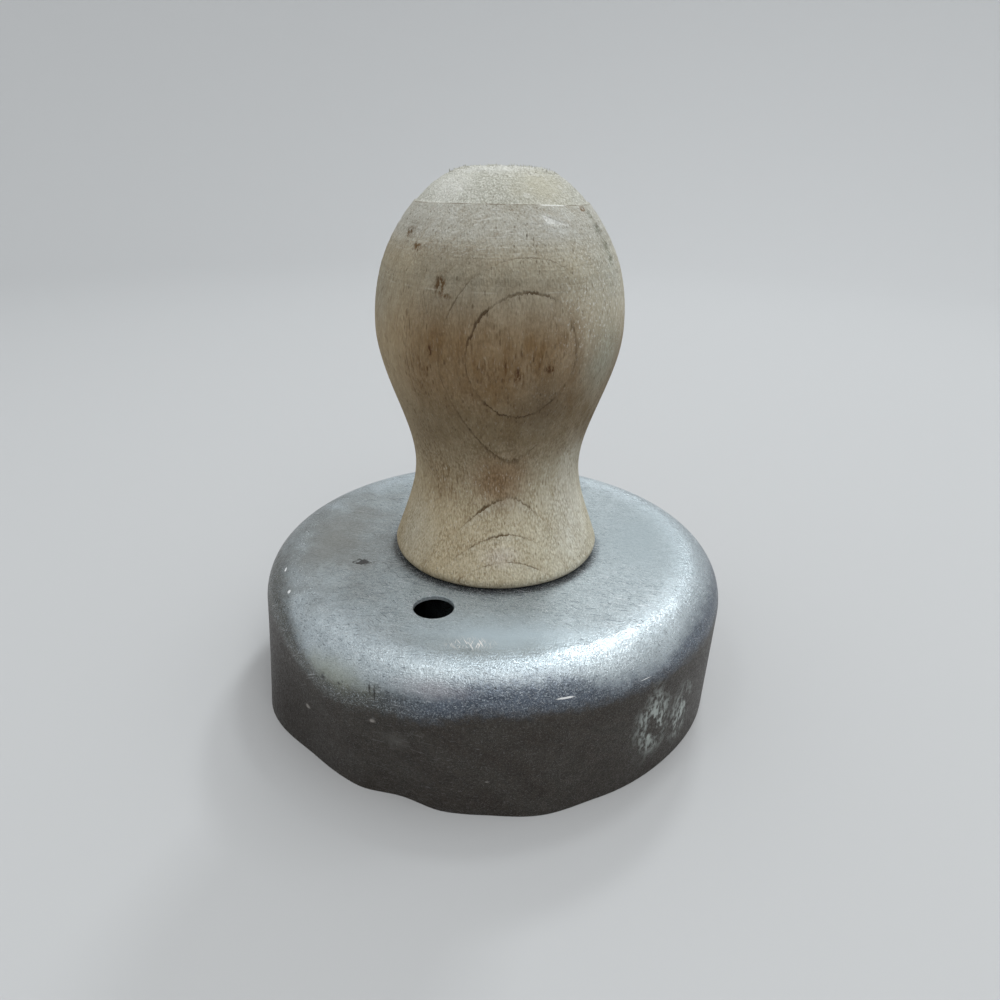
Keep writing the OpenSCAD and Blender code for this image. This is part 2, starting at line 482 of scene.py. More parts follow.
line = cup_outline(cup_r, cup_h, shoulder_r, screw_hole_r, steps=(top_rows, 26, 44))
top_radii = line[:top_rows + 1, 0]
window_first = int(np.argmin(np.abs(top_radii - (vent_reach - window_margin))))
window_last = int(np.argmin(np.abs(top_radii - (vent_reach + window_margin))))


def outside_window(row, segment):
    """Whether a quad of the grid lies outside the window for the vent hole."""
    near = segment < window_half or segment >= cup_segments - window_half
    return not (near and window_first <= row < window_last)


def window_ring(first_row, last_row, half_width, segments):
    """Grid points round a window of the grid, in order."""
    columns = [c % segments for c in range(-half_width, half_width + 1)]
    ring = [first_row * segments + c for c in columns]
    ring += [row * segments + columns[-1] for row in range(first_row + 1, last_row)]
    ring += [last_row * segments + c for c in reversed(columns)]
    ring += [row * segments + columns[0] for row in range(last_row - 1, first_row, -1)]
    return ring


def round_hole(points, faces, ring, centre, radius):
    """Fills the window with rings of quads that end in a circle."""
    old = ring
    for share in ring_shares:
        new = []
        for start in ring:
            away = points[start][:2] - centre
            edge = centre + radius * away / np.linalg.norm(away)
            spot = (1 - share) * points[start][:2] + share * edge
            new.append(len(points))
            points.append(np.array([spot[0], spot[1], points[start][2]]))
        for k in range(len(ring)):
            n = (k + 1) % len(ring)
            faces.append((old[k], new[k], new[n], old[n]))
        old = new


cup_points = list(turned_grid(line, cup_segments, vent_angle))
cup_faces = ring_faces(len(line), cup_segments, outside_window)
vent_turn = math.radians(vent_angle)
vent_centre = vent_reach * np.array([math.cos(vent_turn), math.sin(vent_turn)])
window = window_ring(window_first, window_last, window_half, cup_segments)
round_hole(cup_points, cup_faces, window, vent_centre, vent_r)
print(f"vent hole {2 * vent_r:.1f} wide, {vent_reach:.1f} from the axis")

# %% [markdown]
# Years of use bent the thin rim: it leans a little, bulges on the left and in front, and is pushed in
# between. Each bend is a direction, a width and a reach, and all of them fade out towards the stiff
# shoulder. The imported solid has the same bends, so this face only adds a ripple and the curve's fineness.
# The shoulder also sits a hair off the handle's axis, which the flat top takes up.

# %% Cutter cup
wall_h = cup_h - shoulder_r
rim_lean = 0.4
rim_lean_angle = 143.0
rim_bends = [(206.0, 20.0, 1.3), (228.0, 16.0, -0.25), (250.0, 11.0, -1.0), (281.0, 13.0, 0.7)]
rim_ripple = 0.05
ripple_waves = 11
ripple_start = 0.7
top_shift = np.array([-0.28, 0.36])
shift_between = (26, 33)


def rim_push(angle):
    """How far the worn rim lies outside the round one in a direction round the axis."""
    push = rim_lean * np.cos(np.radians(angle - rim_lean_angle))
    for middle, half_width, reach in rim_bends:
        push = push + reach * bump(0, half_width, angle_gap(angle, middle))
    return push


def battered(points):
    """Moves the points of the cup's face to where years of use have bent them."""
    p = np.array(points)
    turn = np.arctan2(p[:, 1], p[:, 0])
    angle = np.degrees(turn) % 360
    share = np.clip(1 - p[:, 2] / wall_h, 0, 1)
    ripple = rim_ripple * share ** 3 * np.sin(ripple_waves * turn + ripple_start)
    push = share * rim_push(angle) + ripple
    off_middle = smooth_step(*shift_between, np.hypot(p[:, 0], p[:, 1]))
    p[:, 0] += push * np.cos(turn) + off_middle * top_shift[0]
    p[:, 1] += push * np.sin(turn) + off_middle * top_shift[1]
    return p


cutter_cup = mesh_object("pressed_cup", battered(cup_points), cup_faces, sharp_angle=50)
pressed(cutter_cup)
stand_in(cutter_cup, "cutter_cup")

# %% [markdown]
# The hole cutter is a like pressing of a third of the width, hung under the large cup's top.
# It is made by the same helpers, with a faint wave in its rim so that it isn't a perfect circle.
# The rim is drawn in by the size of that wave, so that it hardly grows past the solid.

# %% Hole cutter
small_r = (small_high[0] - small_low[0]) / 2
small_h = small_high[2] - small_low[2]
small_shoulder_r = 3.0
small_segments = 160
small_oval = 0.012
small_oval_turn = 0.6
small_wave = 0.004

small_line = cup_outline(small_r, small_h, small_shoulder_r, screw_hole_r, steps=(22, 14, 46))
small_points = turned_grid(small_line, small_segments)
small_turn = np.arctan2(small_points[:, 1], small_points[:, 0])
to_rim = np.clip(1 - small_points[:, 2] / small_h, 0, 1) ** 2
wave = small_oval * np.cos(2 * small_turn + small_oval_turn) + small_wave * np.cos(5 * small_turn)
small_points[:, :2] *= (1 + to_rim * wave - small_oval * to_rim)[:, None]
small_points[:, 2] += small_low[2]
small_faces = ring_faces(len(small_line), small_segments)
hole_cutter = mesh_object("hole_cutter_cup", small_points, small_faces, sharp_angle=50)
pressed(hole_cutter)
stand_in(hole_cutter, "hole_cutter")

# %% [markdown]
# The screw is a slotted round-head wood screw. Its thread is a grid of points whose radius follows a
# helix, which stays one closed skin where a swept profile would have to be joined to the shank.
# The dome of the head is turned, in the same grid.

# %% Head and thread of the screw
screw_r = 2.1
head_r = (screw_high[0] - screw_low[0]) / 2
head_h = 2.9
head_edge = 0.5
point_l = 7.0
point_tip = 0.05
blunt_share = 0.06
thread_pitch = 1.8
thread_depth = 0.55
thread_run_in = 2.5
crest_half = 0.32
plain_l = 9.0
shank_rows = 240
screw_segments = 48
screw_seat_z = screw_low[2] + head_h
screw_l = screw_high[2] - screw_seat_z

dome_h = head_h - head_edge
dome_r = (head_r ** 2 + dome_h ** 2) / (2 * dome_h)
dome_angle = math.degrees(math.asin(head_r / dome_r))
dome = arc((0, head_h - dome_r), dome_r, 90, 90 - dome_angle, 16)
head_line = np.concatenate([dome[1:], [(head_r, 0.0)], straight((head_r, 0), (screw_r, 0), 4)])
shank_z = np.linspace(0, screw_l, shank_rows)[1:]
screw_turn = np.arange(screw_segments) * 2 * math.pi / screw_segments
tip_share = np.clip((screw_l - shank_z) / point_l, blunt_share, 1)
helix = (shank_z[:, None] / thread_pitch - screw_turn[None, :] / (2 * math.pi)) % 1
crest = np.clip(1 - np.abs(helix - 0.5) / crest_half, 0, 1)
cut_in = smooth_step(plain_l, plain_l + thread_run_in, shank_z)[:, None]
shank_r = (screw_r - thread_depth * cut_in * (1 - crest)) * tip_share[:, None]


def level_ring(radius, height):
    """One ring of the screw's points. The radius is one number, or one for each point."""
    return np.stack([radius * np.cos(screw_turn), radius * np.sin(screw_turn),
                     np.full(screw_segments, height)], -1)


rings = [level_ring(radius, -depth) for radius, depth in head_line]
rings += [level_ring(radius, height) for radius, height in zip(shank_r, shank_z)]
screw_points = np.concatenate(rings + [[[0, 0, -head_h], [0, 0, screw_l + point_tip]]])
screw_points[:, 2] += screw_seat_z
bottom_pole = len(rings) * screw_segments
screw_faces = [tuple(reversed(face)) for face in ring_faces(len(rings), screw_segments)]
screw_faces += fan_faces(bottom_pole, 0, screw_segments, flip=True)
screw_faces += fan_faces(bottom_pole + 1, bottom_pole - screw_segments, screw_segments)
print(f"screw {screw_l:.1f} long under a head {2 * head_r:.1f} wide")

# %% [markdown]
# The slot is straight, so it doesn't belong to the turned grid. A box cuts it with the Boolean modifier,
# the result is kept as the screw's mesh, and the box is thrown away.

# %% Slot of the screw
slot_w = 1.2
slot_depth = 1.6
screw_sharp = 40

handle_screw = mesh_object("wood_screw", screw_points, screw_faces, screw_sharp)
slot_tool = bpy.data.meshes.new("slot_tool")
slot_box = bmesh.new()
bmesh.ops.create_cube(slot_box, size=1)
slot_box.to_mesh(slot_tool)
slot_box.free()
cutter = bpy.data.objects.new("slot_tool", slot_tool)
cutter.scale = (slot_w * MM, 4 * head_r * MM, 2 * slot_depth * MM)
cutter.location = (0, 0, screw_low[2] * MM)
bpy.context.scene.collection.objects.link(cutter)
slot_cut = handle_screw.modifiers.new("slot", "BOOLEAN")
slot_cut.object = cutter
slot_cut.operation = "DIFFERENCE"
bpy.context.view_layer.update()
cut_screw = handle_screw.evaluated_get(bpy.context.evaluated_depsgraph_get())
cut_mesh = bpy.data.meshes.new_from_object(cut_screw)
handle_screw.modifiers.clear()
handle_screw.data = cut_mesh
cut_mesh.set_sharp_from_angle(angle=math.radians(screw_sharp))
bpy.data.objects.remove(cutter)
stand_in(handle_screw, "handle_screw")

# %% [markdown]
# Materials are built from nodes only. A few helpers keep the node code short: one adds a node, and the
# others are the small sums that every material needs. A socket knows the node tree that it belongs to,
# so a helper needs no more than sockets and numbers.

# %% Helpers for sums of nodes
def is_socket(value):
    return isinstance(value, bpy.types.NodeSocket)


def put(kind, inputs, tree=None, **settings):
    """Adds a node. inputs gives values, or outputs of other nodes, by socket name or number."""
    tree = tree or next(value.id_data for value in inputs.values() if is_socket(value))
    made = tree.nodes.new(kind)
    for name, value in settings.items():
        setattr(made, name, value)
    for name, value in inputs.items():
        if is_socket(value):
            tree.links.new(value, made.inputs[name])
        else:
            made.inputs[name].default_value = value
    return made


def maths(operation, a, b=0.0):
    return put("ShaderNodeMath", {0: a, 1: b}, operation=operation).outputs[0]


def times(a, b):
    return maths("MULTIPLY", a, b)


def minus(a, b):
    return maths("SUBTRACT", a, b)


def larger(a, b):
    return maths("MAXIMUM", a, b)


def plus(a, b, share=1.0):
    """a plus a share of b."""
    return maths("ADD", a, times(b, share))


def off(value, middle):
    """How far a value is from a middle, on either side."""
    return maths("ABSOLUTE", minus(value, middle))


def ease(value, low, high, to_low=0.0, to_high=1.0):
    """Runs softly from to_low to to_high while the value goes from low to high."""
    inputs = {0: value, 1: low, 2: high, 3: to_low, 4: to_high}
    return put("ShaderNodeMapRange", inputs, interpolation_type="SMOOTHSTEP").outputs[0]


def fade(value, low, high):
    """Runs softly from 1 down to 0 while the value goes from low to high."""
    return ease(value, low, high, 1.0, 0.0)


def masked(mask, without, within):
    """One value outside a mask and another one within it."""
    return ease(mask, 0.0, 1.0, without, within)


# %% [markdown]
# Places are vectors. All materials measure them in millimetres on the object's own coordinates, so a mark
# stays where it is put when the cutter is moved.

# %% Helpers for places
def vector_maths(operation, a, b):
    return put("ShaderNodeVectorMath", {0: a, 1: b}, operation=operation).outputs[0]


def dot(a, b):
    return put("ShaderNodeVectorMath", {0: a, 1: b}, operation="DOT_PRODUCT").outputs["Value"]


def length_of(vector):
    return put("ShaderNodeVectorMath", {0: vector}, operation="LENGTH").outputs["Value"]


def scaled_by(vector, factor):
    return put("ShaderNodeVectorMath", {0: vector, "Scale": factor}, operation="SCALE").outputs[0]


def split(vector):
    """X, Y and Z of a vector: sideways, depth and height."""
    return put("ShaderNodeSeparateXYZ", {0: vector}).outputs


def soft_noise(vector, detail, scale=1.0):
    return put("ShaderNodeTexNoise", {"Vector": vector, "Scale": scale, "Detail": detail}).outputs[0]


def new_material(name):
    """A material, its shader, and the places on the object in millimetres."""
    material = bpy.data.materials.new(name)
    material.use_nodes = True
    tree = material.node_tree
    place = put("ShaderNodeTexCoord", {}, tree).outputs["Object"]
    return material, tree.nodes["Principled BSDF"], scaled_by(place, 1 / MM)


# %% [markdown]
# Colours are laid in layers. A paint covers what is below it, and a stain multiplies it, so that the grain
# still shows through. The finished layers are then linked to the shader.

# %% Helpers for colours
def blend(share, a, b, mode="MIX"):
    """Mixes two colours."""
    a, b = [colour if is_socket(colour) else (*colour, 1) for colour in (a, b)]
    return put("ShaderNodeMix", {0: share, 6: a, 7: b}, data_type="RGBA", blend_type=mode).outputs[2]


def cover(colour, mask, share, paint):
    """Lays a paint over the colour where the mask is."""
    return blend(times(mask, share), colour, paint)


def stain(colour, mask, share, tone):
    """Darkens the colour by a tone where the mask is, so that a stain shows on pale and on dark wood."""
    return blend(times(mask, share), colour, tone, "MULTIPLY")


def feed(shader, title, value):
    """Links a value to one of the shader's inputs."""
    shader.id_data.links.new(value, shader.inputs[title])


def feed_bumps(shader, relief, strength, depth):
    """Links a relief to the shader's normal. A relief of 1 is depth millimetres high."""
    bumps = put("ShaderNodeBump", {"Height": relief, "Strength": strength, "Distance": depth * MM})
    feed(shader, "Normal", bumps.outputs[0])


# %% [markdown]
# Wood and metal both have stains, patches, fine streaks and small specks, only in other sizes and colours.
# Each of these is a node group that puts out a mask, built once and placed in every material that needs it.
# The first is a mark that sits at one known place. It is a soft ellipsoid with a frayed edge,
# because an ellipsoid needs no unwrapped texture.

# %% Node group for a mark at one place
def new_group(name, inputs):
    """An empty node group with named inputs and one output, Mask."""
    group = bpy.data.node_groups.new(name, "ShaderNodeTree")
    for title, kind, value in inputs:
        socket = group.interface.new_socket(title, in_out="INPUT", socket_type="NodeSocket" + kind)
        socket.default_value = value
    group.interface.new_socket("Mask", in_out="OUTPUT", socket_type="NodeSocketFloat")
    given = group.nodes.new("NodeGroupInput").outputs
    result = group.nodes.new("NodeGroupOutput").inputs
    print("node group:", name)
    return group, given, result


def placed(group, **inputs):
    """Places a node group in a material. An input called fray_size is the group's Fray Size."""
    named = {name.replace("_", " ").title(): value for name, value in inputs.items()}
    return put("ShaderNodeGroup", named, node_tree=group).outputs[0]


mark_group, given, result = new_group("mark_at_a_place", [
    ("Point", "Vector", (0, 0, 0)), ("Centre", "Vector", (0, 0, 0)), ("Reach", "Vector", (1, 1, 1)),
    ("Fray", "Float", 0.5), ("Fray Size", "Float", 0.6), ("Core", "Float", 0.4)])
away = vector_maths("SUBTRACT", given["Point"], given["Centre"])
distance = length_of(vector_maths("DIVIDE", away, given["Reach"]))
uneven = soft_noise(given["Point"], 3.0, maths("DIVIDE", 1.0, given["Fray Size"]))
distance = maths("ADD", distance, times(minus(uneven, 0.5), given["Fray"]))
mark_group.links.new(fade(distance, given["Core"], 1.0), result["Mask"])


def mark(point, centre, reach, fray, fray_size, core):
    """Mask of a soft spot. reach is its half size along X, Y and Z, and core is its solid share."""
    return placed(mark_group, point=point, centre=centre, reach=reach, fray=fray, fray_size=fray_size,
                  core=core)


# %% [markdown]
# Patches are noise with everything below one level cut off. Stretched to the size of a fibre, the same group
# is grain, and at the size of a hand it is a cloud of wear. Each use has its own seed.

# %% Node group for soft patches
patch_group, given, result = new_group("soft_patches", [
    ("Point", "Vector", (0, 0, 0)), ("Size", "Vector", (5, 5, 5)), ("Low", "Float", 0.4),
    ("High", "Float", 0.6), ("Seed", "Float", 0.0), ("Detail", "Float", 3.0)])
spread = vector_maths("ADD", vector_maths("DIVIDE", given["Point"], given["Size"]), given["Seed"])
lumps = soft_noise(spread, given["Detail"])
patch_group.links.new(ease(lumps, given["Low"], given["High"]), result["Mask"])


def patches(point, size, low, high, seed, detail=3.0):
    """Mask of patches of a size, each stretched as the size is."""
    return placed(patch_group, point=point, size=size, low=low, high=high, seed=seed, detail=detail)


# %% [markdown]
# Scratches and tool streaks run one way and are much longer than wide. Noise that is turned and
# then stretched along one axis gives them, without drawing a single line.

# %% Node group for hairlines
line_edge = 0.05
hairline_group, given, result = new_group("hairlines", [
    ("Point", "Vector", (0, 0, 0)), ("Turn", "Vector", (0, 0, 0)), ("Length", "Float", 6.0),
    ("Width", "Float", 0.12), ("Low", "Float", 0.66), ("High", "Float", 0.72), ("Seed", "Float", 0.0)])
turned = put("ShaderNodeVectorRotate", {"Vector": given["Point"], "Rotation": given["Turn"]},
             rotation_type="EULER_XYZ").outputs[0]
stretch = put("ShaderNodeCombineXYZ", {0: given["Length"], 1: given["Width"], 2: given["Width"]}).outputs[0]
spread = vector_maths("ADD", vector_maths("DIVIDE", turned, stretch), given["Seed"])
streaks = soft_noise(spread, 1.0)
hairline_group.links.new(ease(streaks, given["Low"], given["High"]), result["Mask"])


def hairlines(point, turn, length, width, low, seed):
    """Mask of fine lines that run one way. The higher low is, the fewer there are."""
    return placed(hairline_group, point=point, turn=turn, length=length, width=width, low=low,
                  high=low + line_edge, seed=seed)


# %% [markdown]
# Pores, pits and flecks are separate spots. A Voronoi texture gives every cell of space one spot, and a
# random number in each cell decides whether its spot is drawn.

# %% Node group for specks
speck_group, given, result = new_group("specks", [
    ("Point", "Vector", (0, 0, 0)), ("Size", "Vector", (1, 1, 1)), ("Share", "Float", 0.2),
    ("Radius", "Float", 0.3), ("Seed", "Float", 0.0)])
spread = vector_maths("ADD", vector_maths("DIVIDE", given["Point"], given["Size"]), given["Seed"])
cells = put("ShaderNodeTexVoronoi", {"Vector": spread, "Scale": 1.0})
lot = put("ShaderNodeSeparateColor", {0: cells.outputs["Color"]}).outputs[0]
drawn = maths("LESS_THAN", lot, given["Share"])
spot = fade(cells.outputs["Distance"], times(given["Radius"], 0.5), given["Radius"])
speck_group.links.new(times(spot, drawn), result["Mask"])


def specks(point, size, share, radius, seed):
    """Mask of small separate spots, with a share of all possible places taken."""
    return placed(speck_group, point=point, size=size, share=share, radius=radius, seed=seed)


# %% [markdown]
# The handle is bare wood that has gone grey and brown. Wood is a solid texture: its growth rings are
# shells round the tree's pith, and the lathe cut through them, which draws loops on the knob and arches on
# the foot. So the rings are not painted on. The material measures the distance to a pith line far behind
# the handle, and each ring is where that distance passes another step. One slant of that line gives
# all the loops.

# %% Years of growth
pith = (-16.7, 150.0, 52.0)
pith_lean = Vector((-0.506, -0.170, 1.0)).normalized()
first_ring = 164.74
ring_step = 1.79
ring_sway = 0.16
ring_feather = 0.17


def years_from_pith(point):
    """How many rings lie between the first one on the handle and a place, with a little sway."""
    from_pith = vector_maths("SUBTRACT", point, pith)
    nearest = scaled_by(pith_lean, dot(from_pith, pith_lean))
    distance = length_of(vector_maths("SUBTRACT", from_pith, nearest))
    sway = minus(patches(point, (9, 9, 16), 0.0, 1.0, seed=2, detail=1), 0.5)
    feather = minus(patches(point, (0.32, 0.32, 1.3), 0.0, 1.0, seed=5, detail=2), 0.5)
    distance = plus(plus(distance, sway, ring_sway), feather, ring_feather)
    return maths("DIVIDE", minus(distance, first_ring), ring_step)


print(f"rings {ring_step} mm apart, the first {first_ring} mm from the pith")

# %% [markdown]
# On the real handle the dark line of a ring is strong where the cut is steep, and lost where the wood is
# worn or greasy. Each bold stretch has a place, a reach, a darkness and a thickness.
# Away from the front the lines fade, on the knob later than on the foot.

# %% Growth rings
knob_front = -1.5
knob_rings_fade = (6.5, 11.0)
foot_front = 1.0
foot_rings_fade = (4.0, 8.0)
knob_starts = (42.0, 45.0)
faint = 0.1
line_thickness = 0.05
rings_darken = (-1.3, 0.95)
dark_line_part = (0.935, 0.99)
late_part = (0.45, 0.99)
early_part = (0.0, 0.35)
bold_lines = [
    ((-2.2, -18.1, 64.0), (2.2, 3.0, 4.5), 1.0, 1.0),
    ((-4.4, -15.2, 49.7), (3.6, 3.0, 5.0), 0.5, 0.5),
    ((-1.8, -13.3, 35.6), (3.2, 3.0, 2.4), 1.0, 0.75),
    ((3.5, -13.3, 36.0), (4.5, 3.0, 3.0), 0.75, 0.2),
    ((0.8, -13.9, 31.6), (7.0, 3.0, 2.8), 0.75, 0.15),
    ((1.6, -15.5, 26.4), (6.0, 3.0, 2.0), 0.8, 0.1),
    ((9.5, -15.5, 60.5), (2.6, 3.5, 6.5), 0.55, 0.3),
    ((-9.3, -15.9, 59.5), (2.0, 3.0, 7.5), 0.55, 0.25),
    ((-12.5, -13.5, 59.0), (2.2, 3.5, 7.0), 0.4, 0.2),
]


def ring_lines(point, years):
    """How dark and how thick the line of a ring is at a place."""
    sideways, _, height = split(point)
    worn = patches(point, (3, 3, 4), 0.34, 0.62, seed=3, detail=2)
    dark = times(ease(years, *rings_darken, 0.12, 1.0), masked(worn, 0.18, 1.0))
    on_knob = ease(off(sideways, knob_front), *knob_rings_fade, 1.0, faint)
    on_foot = ease(off(sideways, foot_front), *foot_rings_fade, 1.0, faint)
    knob_share = ease(height, *knob_starts)
    dark = times(dark, plus(times(on_knob, knob_share), times(on_foot, minus(1.0, knob_share))))
    thick = times(patches(point, (2.2, 2.2, 3.0), 0.42, 0.62, seed=18), 0.5)
    for centre, reach, darkness, thickness in bold_lines:
        bold = mark(point, centre, reach, fray=0.5, fray_size=1.5, core=0.2)
        thick = larger(thick, times(bold, thickness))
        dark = larger(dark, times(bold, darkness))
    return dark, thick


def growth_rings(point):
    """Masks of the dark line that ends each year, the brown wood before it and the pale wood after it."""
    years = years_from_pith(point)
    year = maths("FRACT", years)
    dark, thick = ring_lines(point, years)
    dark_line = times(ease(plus(year, thick, line_thickness), *dark_line_part), dark)
    late_wood = times(ease(year, *late_part), patches(point, (2, 2, 6), 0.35, 0.65, seed=8))
    early_wood = times(fade(year, *early_part), dark)
    return dark_line, late_wood, early_wood


print("bold stretches of rings:", len(bold_lines))

# %% [markdown]
# Colour comes in layers, as it came to the real handle. First the broad tones: the tan of the wood, which
# painted light makes paler on the right, the grey of the weathered crown and the brown grease of many hands
# on the knob, rubbed thin at its left and, as painted light, thinner on its upper right. Bands of height say
# where one tone turns into the next. Washes are soft clouds of a single tone, each at its own place.

# %% Broad tones of the handle
tan_left = (0.65, 0.545, 0.365)
painted_lit_tan = (0.86, 0.83, 0.685)
weathered_grey = (0.545, 0.55, 0.515)
hand_grease = (0.230, 0.145, 0.066)
upper_grease = (0.335, 0.305, 0.235)
lower_grease = (0.224, 0.163, 0.090)
faded_tan = (0.78, 0.74, 0.68)
painted_light_sides = (-15.0, 15.0)
crown_starts = (70.0, 74.8)
upper_knob_starts = (55.0, 66.0)
grease_starts = (31.0, 49.0)
grease_ends = (69.0, 75.6)
upper_grease_starts = (61.0, 70.0)
lower_grease_ends = (49.0, 56.0)
painted_light_right = (5.0, 17.0)
rubbed_left = (-18.0, -8.0)
# The pale wash on the right of the foot and the grey washes on the right of the knob and crown are painted
# light.
washes = [
    ((0.3, -13.5, 40.3), (7.0, 6.0, 6.5), (0.30, 0.19, 0.10), 0.9),
    ((6.0, -14.8, 52.5), (7.0, 7.0, 7.5), (0.165, 0.118, 0.068), 0.8),
    ((-8.6, -10.0, 39.0), (5.0, 6.0, 6.0), (0.40, 0.30, 0.18), 0.5),
    ((-14.0, -9.0, 30.0), (8.5, 9.0, 9.0), (0.72, 0.69, 0.58), 0.65),
    ((13.0, -9.0, 34.0), (8.5, 9.0, 15.0), (0.93, 0.93, 0.86), 0.75),
    ((14.5, -11.0, 58.0), (6.5, 9.0, 9.0), (0.435, 0.445, 0.37), 0.75),
    ((12.9, -6.6, 74.6), (1.6, 2.4, 3.0), (0.30, 0.30, 0.255), 0.5),
    ((-11.8, -9.0, 74.6), (1.6, 2.6, 2.4), (0.33, 0.30, 0.24), 0.6),
    ((-6.0, -15.0, 71.6), (9.5, 6.0, 3.2), (0.30, 0.27, 0.21), 0.5),
    ((0.8, -16.0, 28.9), (4.5, 4.0, 2.4), (0.80, 0.74, 0.69), 0.6),
    ((-17.0, -6.0, 67.0), (7.0, 12.0, 9.0), (0.40, 0.38, 0.31), 0.6),
    ((15.0, -8.0, 70.0), (7.0, 12.0, 8.0), (0.50, 0.52, 0.48), 0.6),
    ((-8.0, -10.0, 77.5), (7.0, 6.0, 3.0), (0.74, 0.76, 0.73), 0.45),
    ((6.5, -11.5, 75.5), (6.0, 4.5, 2.6), (0.68, 0.70, 0.69), 0.55),
]


def grease_mask(point):
    """Where the grease of hands lies: round the knob, thinner at its left, thinner on its upper right as
    painted light, and a little uneven.
    """
    sideways, _, height = split(point)
    grease = times(ease(height, *grease_starts), ease(height, *grease_ends, 1.0, 0.05))
    # On the upper right the grease thins out as painted light.
    off_right = times(ease(sideways, *painted_light_right, 0.0, 0.66), ease(height, *upper_knob_starts))
    off_left = ease(sideways, *rubbed_left, 0.6, 0.0)
    grease = times(grease, minus(1.0, larger(off_right, off_left)))
    grease = times(grease, masked(patches(point, (5, 5, 9), 0.3, 0.7, seed=4), 0.9, 1.0))
    return times(grease, masked(patches(point, (1.2, 1.2, 3), 0.3, 0.7, seed=2), 0.92, 1.0))


def broad_tones(point):
    """The handle's colour before any grain."""
    sideways, _, height = split(point)
    # Painted light: the tan turns paler towards the right.
    colour = blend(ease(sideways, *painted_light_sides), tan_left, painted_lit_tan)
    colour = stain(colour, patches(point, (6, 6, 15), 0.36, 0.66, seed=1), 0.35, faded_tan)
    colour = cover(colour, ease(height, *crown_starts), 0.85, weathered_grey)
    grease = blend(ease(height, *upper_grease_starts), hand_grease, upper_grease)
    grease = blend(fade(height, *lower_grease_ends), grease, lower_grease)
    colour = blend(grease_mask(point), colour, grease)
    for centre, reach, tone, share in washes:
        colour = cover(colour, mark(point, centre, reach, fray=0.4, fray_size=3.0, core=0.0), share, tone)
    return colour


print("washes of colour:", len(washes))

# %% [markdown]
# Then the grain. The wood has short fibres, so close up it is a field of granules, a few tenths of a
# millimetre wide and taller than wide. Dark streaks gather where grease soaked in, pale ticks stand where
# the surface has fuzzed up, and pores are dark dashes. Grain, granules and pores also make the relief.

# %% Grain of the wood
pale_fibre = (0.72, 0.70, 0.62)
granule_tone = (0.62, 0.57, 0.50)
grain_tone = (0.60, 0.54, 0.46)
streak_tone = (0.56, 0.45, 0.33)
mottle_tone = (0.70, 0.65, 0.57)
pore_tone = (0.45, 0.38, 0.30)
late_tone = (0.74, 0.66, 0.56)
foot_ends = (37.0, 44.0)
coarse_ends = (40.0, 52.0)
ticks_end = (39.0, 46.0)
streaks_elsewhere = 0.25
streaked = [
    ((1.5, -18.0, 58.5), (8.5, 5.0, 4.5)),
    ((-7.4, -10.8, 39.0), (3.5, 5.0, 5.5)),
    ((-10.5, -14.5, 57.5), (3.5, 5.0, 6.0)),
]


def ringed(point, colour, late_wood, early_wood):
    """The colour with the brown end of each year, and on the foot its pale start."""
    colour = stain(colour, late_wood, 0.30, late_tone)
    on_foot = fade(split(point)[2], *foot_ends)
    return cover(colour, times(early_wood, on_foot), 0.36, pale_fibre)


def grained(point, colour, grain, granules, pores):
    """The colour with granules, grain, streaks, pale ticks, mottling and pores."""
    height = split(point)[2]
    worn_smooth = patches(point, (3.0, 3.0, 3.6), 0.38, 0.60, seed=22)
    coarse = times(times(granules, ease(height, *coarse_ends, 1.1, 0.62)), masked(worn_smooth, 1.0, 0.6))
    colour = stain(colour, coarse, 0.85, granule_tone)
    colour = stain(colour, minus(1.0, grain), 0.26, grain_tone)
    streaky = streaks_elsewhere
    for centre, reach in streaked:
        streaky = larger(streaky, mark(point, centre, reach, fray=0.5, fray_size=2.0, core=0.2))
    streaks = patches(point, (0.3, 0.3, 1.8), 0.50, 0.64, seed=14)
    colour = stain(colour, times(streaks, streaky), 0.8, streak_tone)
    ticks = patches(point, (0.22, 0.22, 0.8), 0.60, 0.70, seed=16)
    ticks = times(ticks, masked(ease(height, *crown_starts), 1.0, 0.3))
    colour = cover(colour, ticks, ease(height, *ticks_end, 0.42, 0.11), pale_fibre)
    colour = stain(colour, patches(point, (1.6, 1.6, 2.6), 0.34, 0.66, seed=5, detail=2), 0.26, mottle_tone)
    return stain(colour, pores, 0.6, pore_tone)


print("streaked places:", len(streaked))

# %% [markdown]
# The crown and the right of the knob are dry. Their loose fibres catch the light as pale flecks, and on
# the crown they lie in streaks, along the way the tool went. The lathe also left faint dark bands round
# the crown, and three pale lines that go all the way round, broken where the wood is worn.

# %% Dry fibres and lines of the lathe
dry_fibre = (0.80, 0.80, 0.76)
lathe_tone = (0.60, 0.56, 0.50)
tool_lines = [(67.9, 0.15), (75.6, 0.16), (72.1, 0.1)]
tool_line_edge = (0.05, 0.14)
dry_crown = (-8.0, 3.0)
dry_right = (5.0, 13.0)
crown_streaks_start = (70.5, 74.0)
bands_start = (63.0, 69.0)
bands_end = (75.5, 77.0)
wide = 60


def dried(point, colour):
    """The colour with pale flecks and streaks where the wood is dry."""
    sideways, _, height = split(point)
    on_crown = times(ease(height, *crown_starts), ease(sideways, *dry_crown, 0.22, 0.42))
    on_right = times(ease(sideways, *dry_right), ease(height, *upper_knob_starts))
    flecks = times(specks(point, (0.42, 0.42, 0.62), 0.42, 0.40, seed=4), 0.4)
    flecks = larger(flecks, patches(point, (0.34, 0.34, 0.5), 0.58, 0.68, seed=21))
    colour = cover(colour, times(flecks, larger(on_crown, on_right)), 0.62, dry_fibre)
    streaks = hairlines(point, (0.0, 0.06, 0.0), 4.0, 0.22, 0.62, seed=5)
    return cover(colour, times(streaks, ease(height, *crown_streaks_start)), 0.3, dry_fibre)


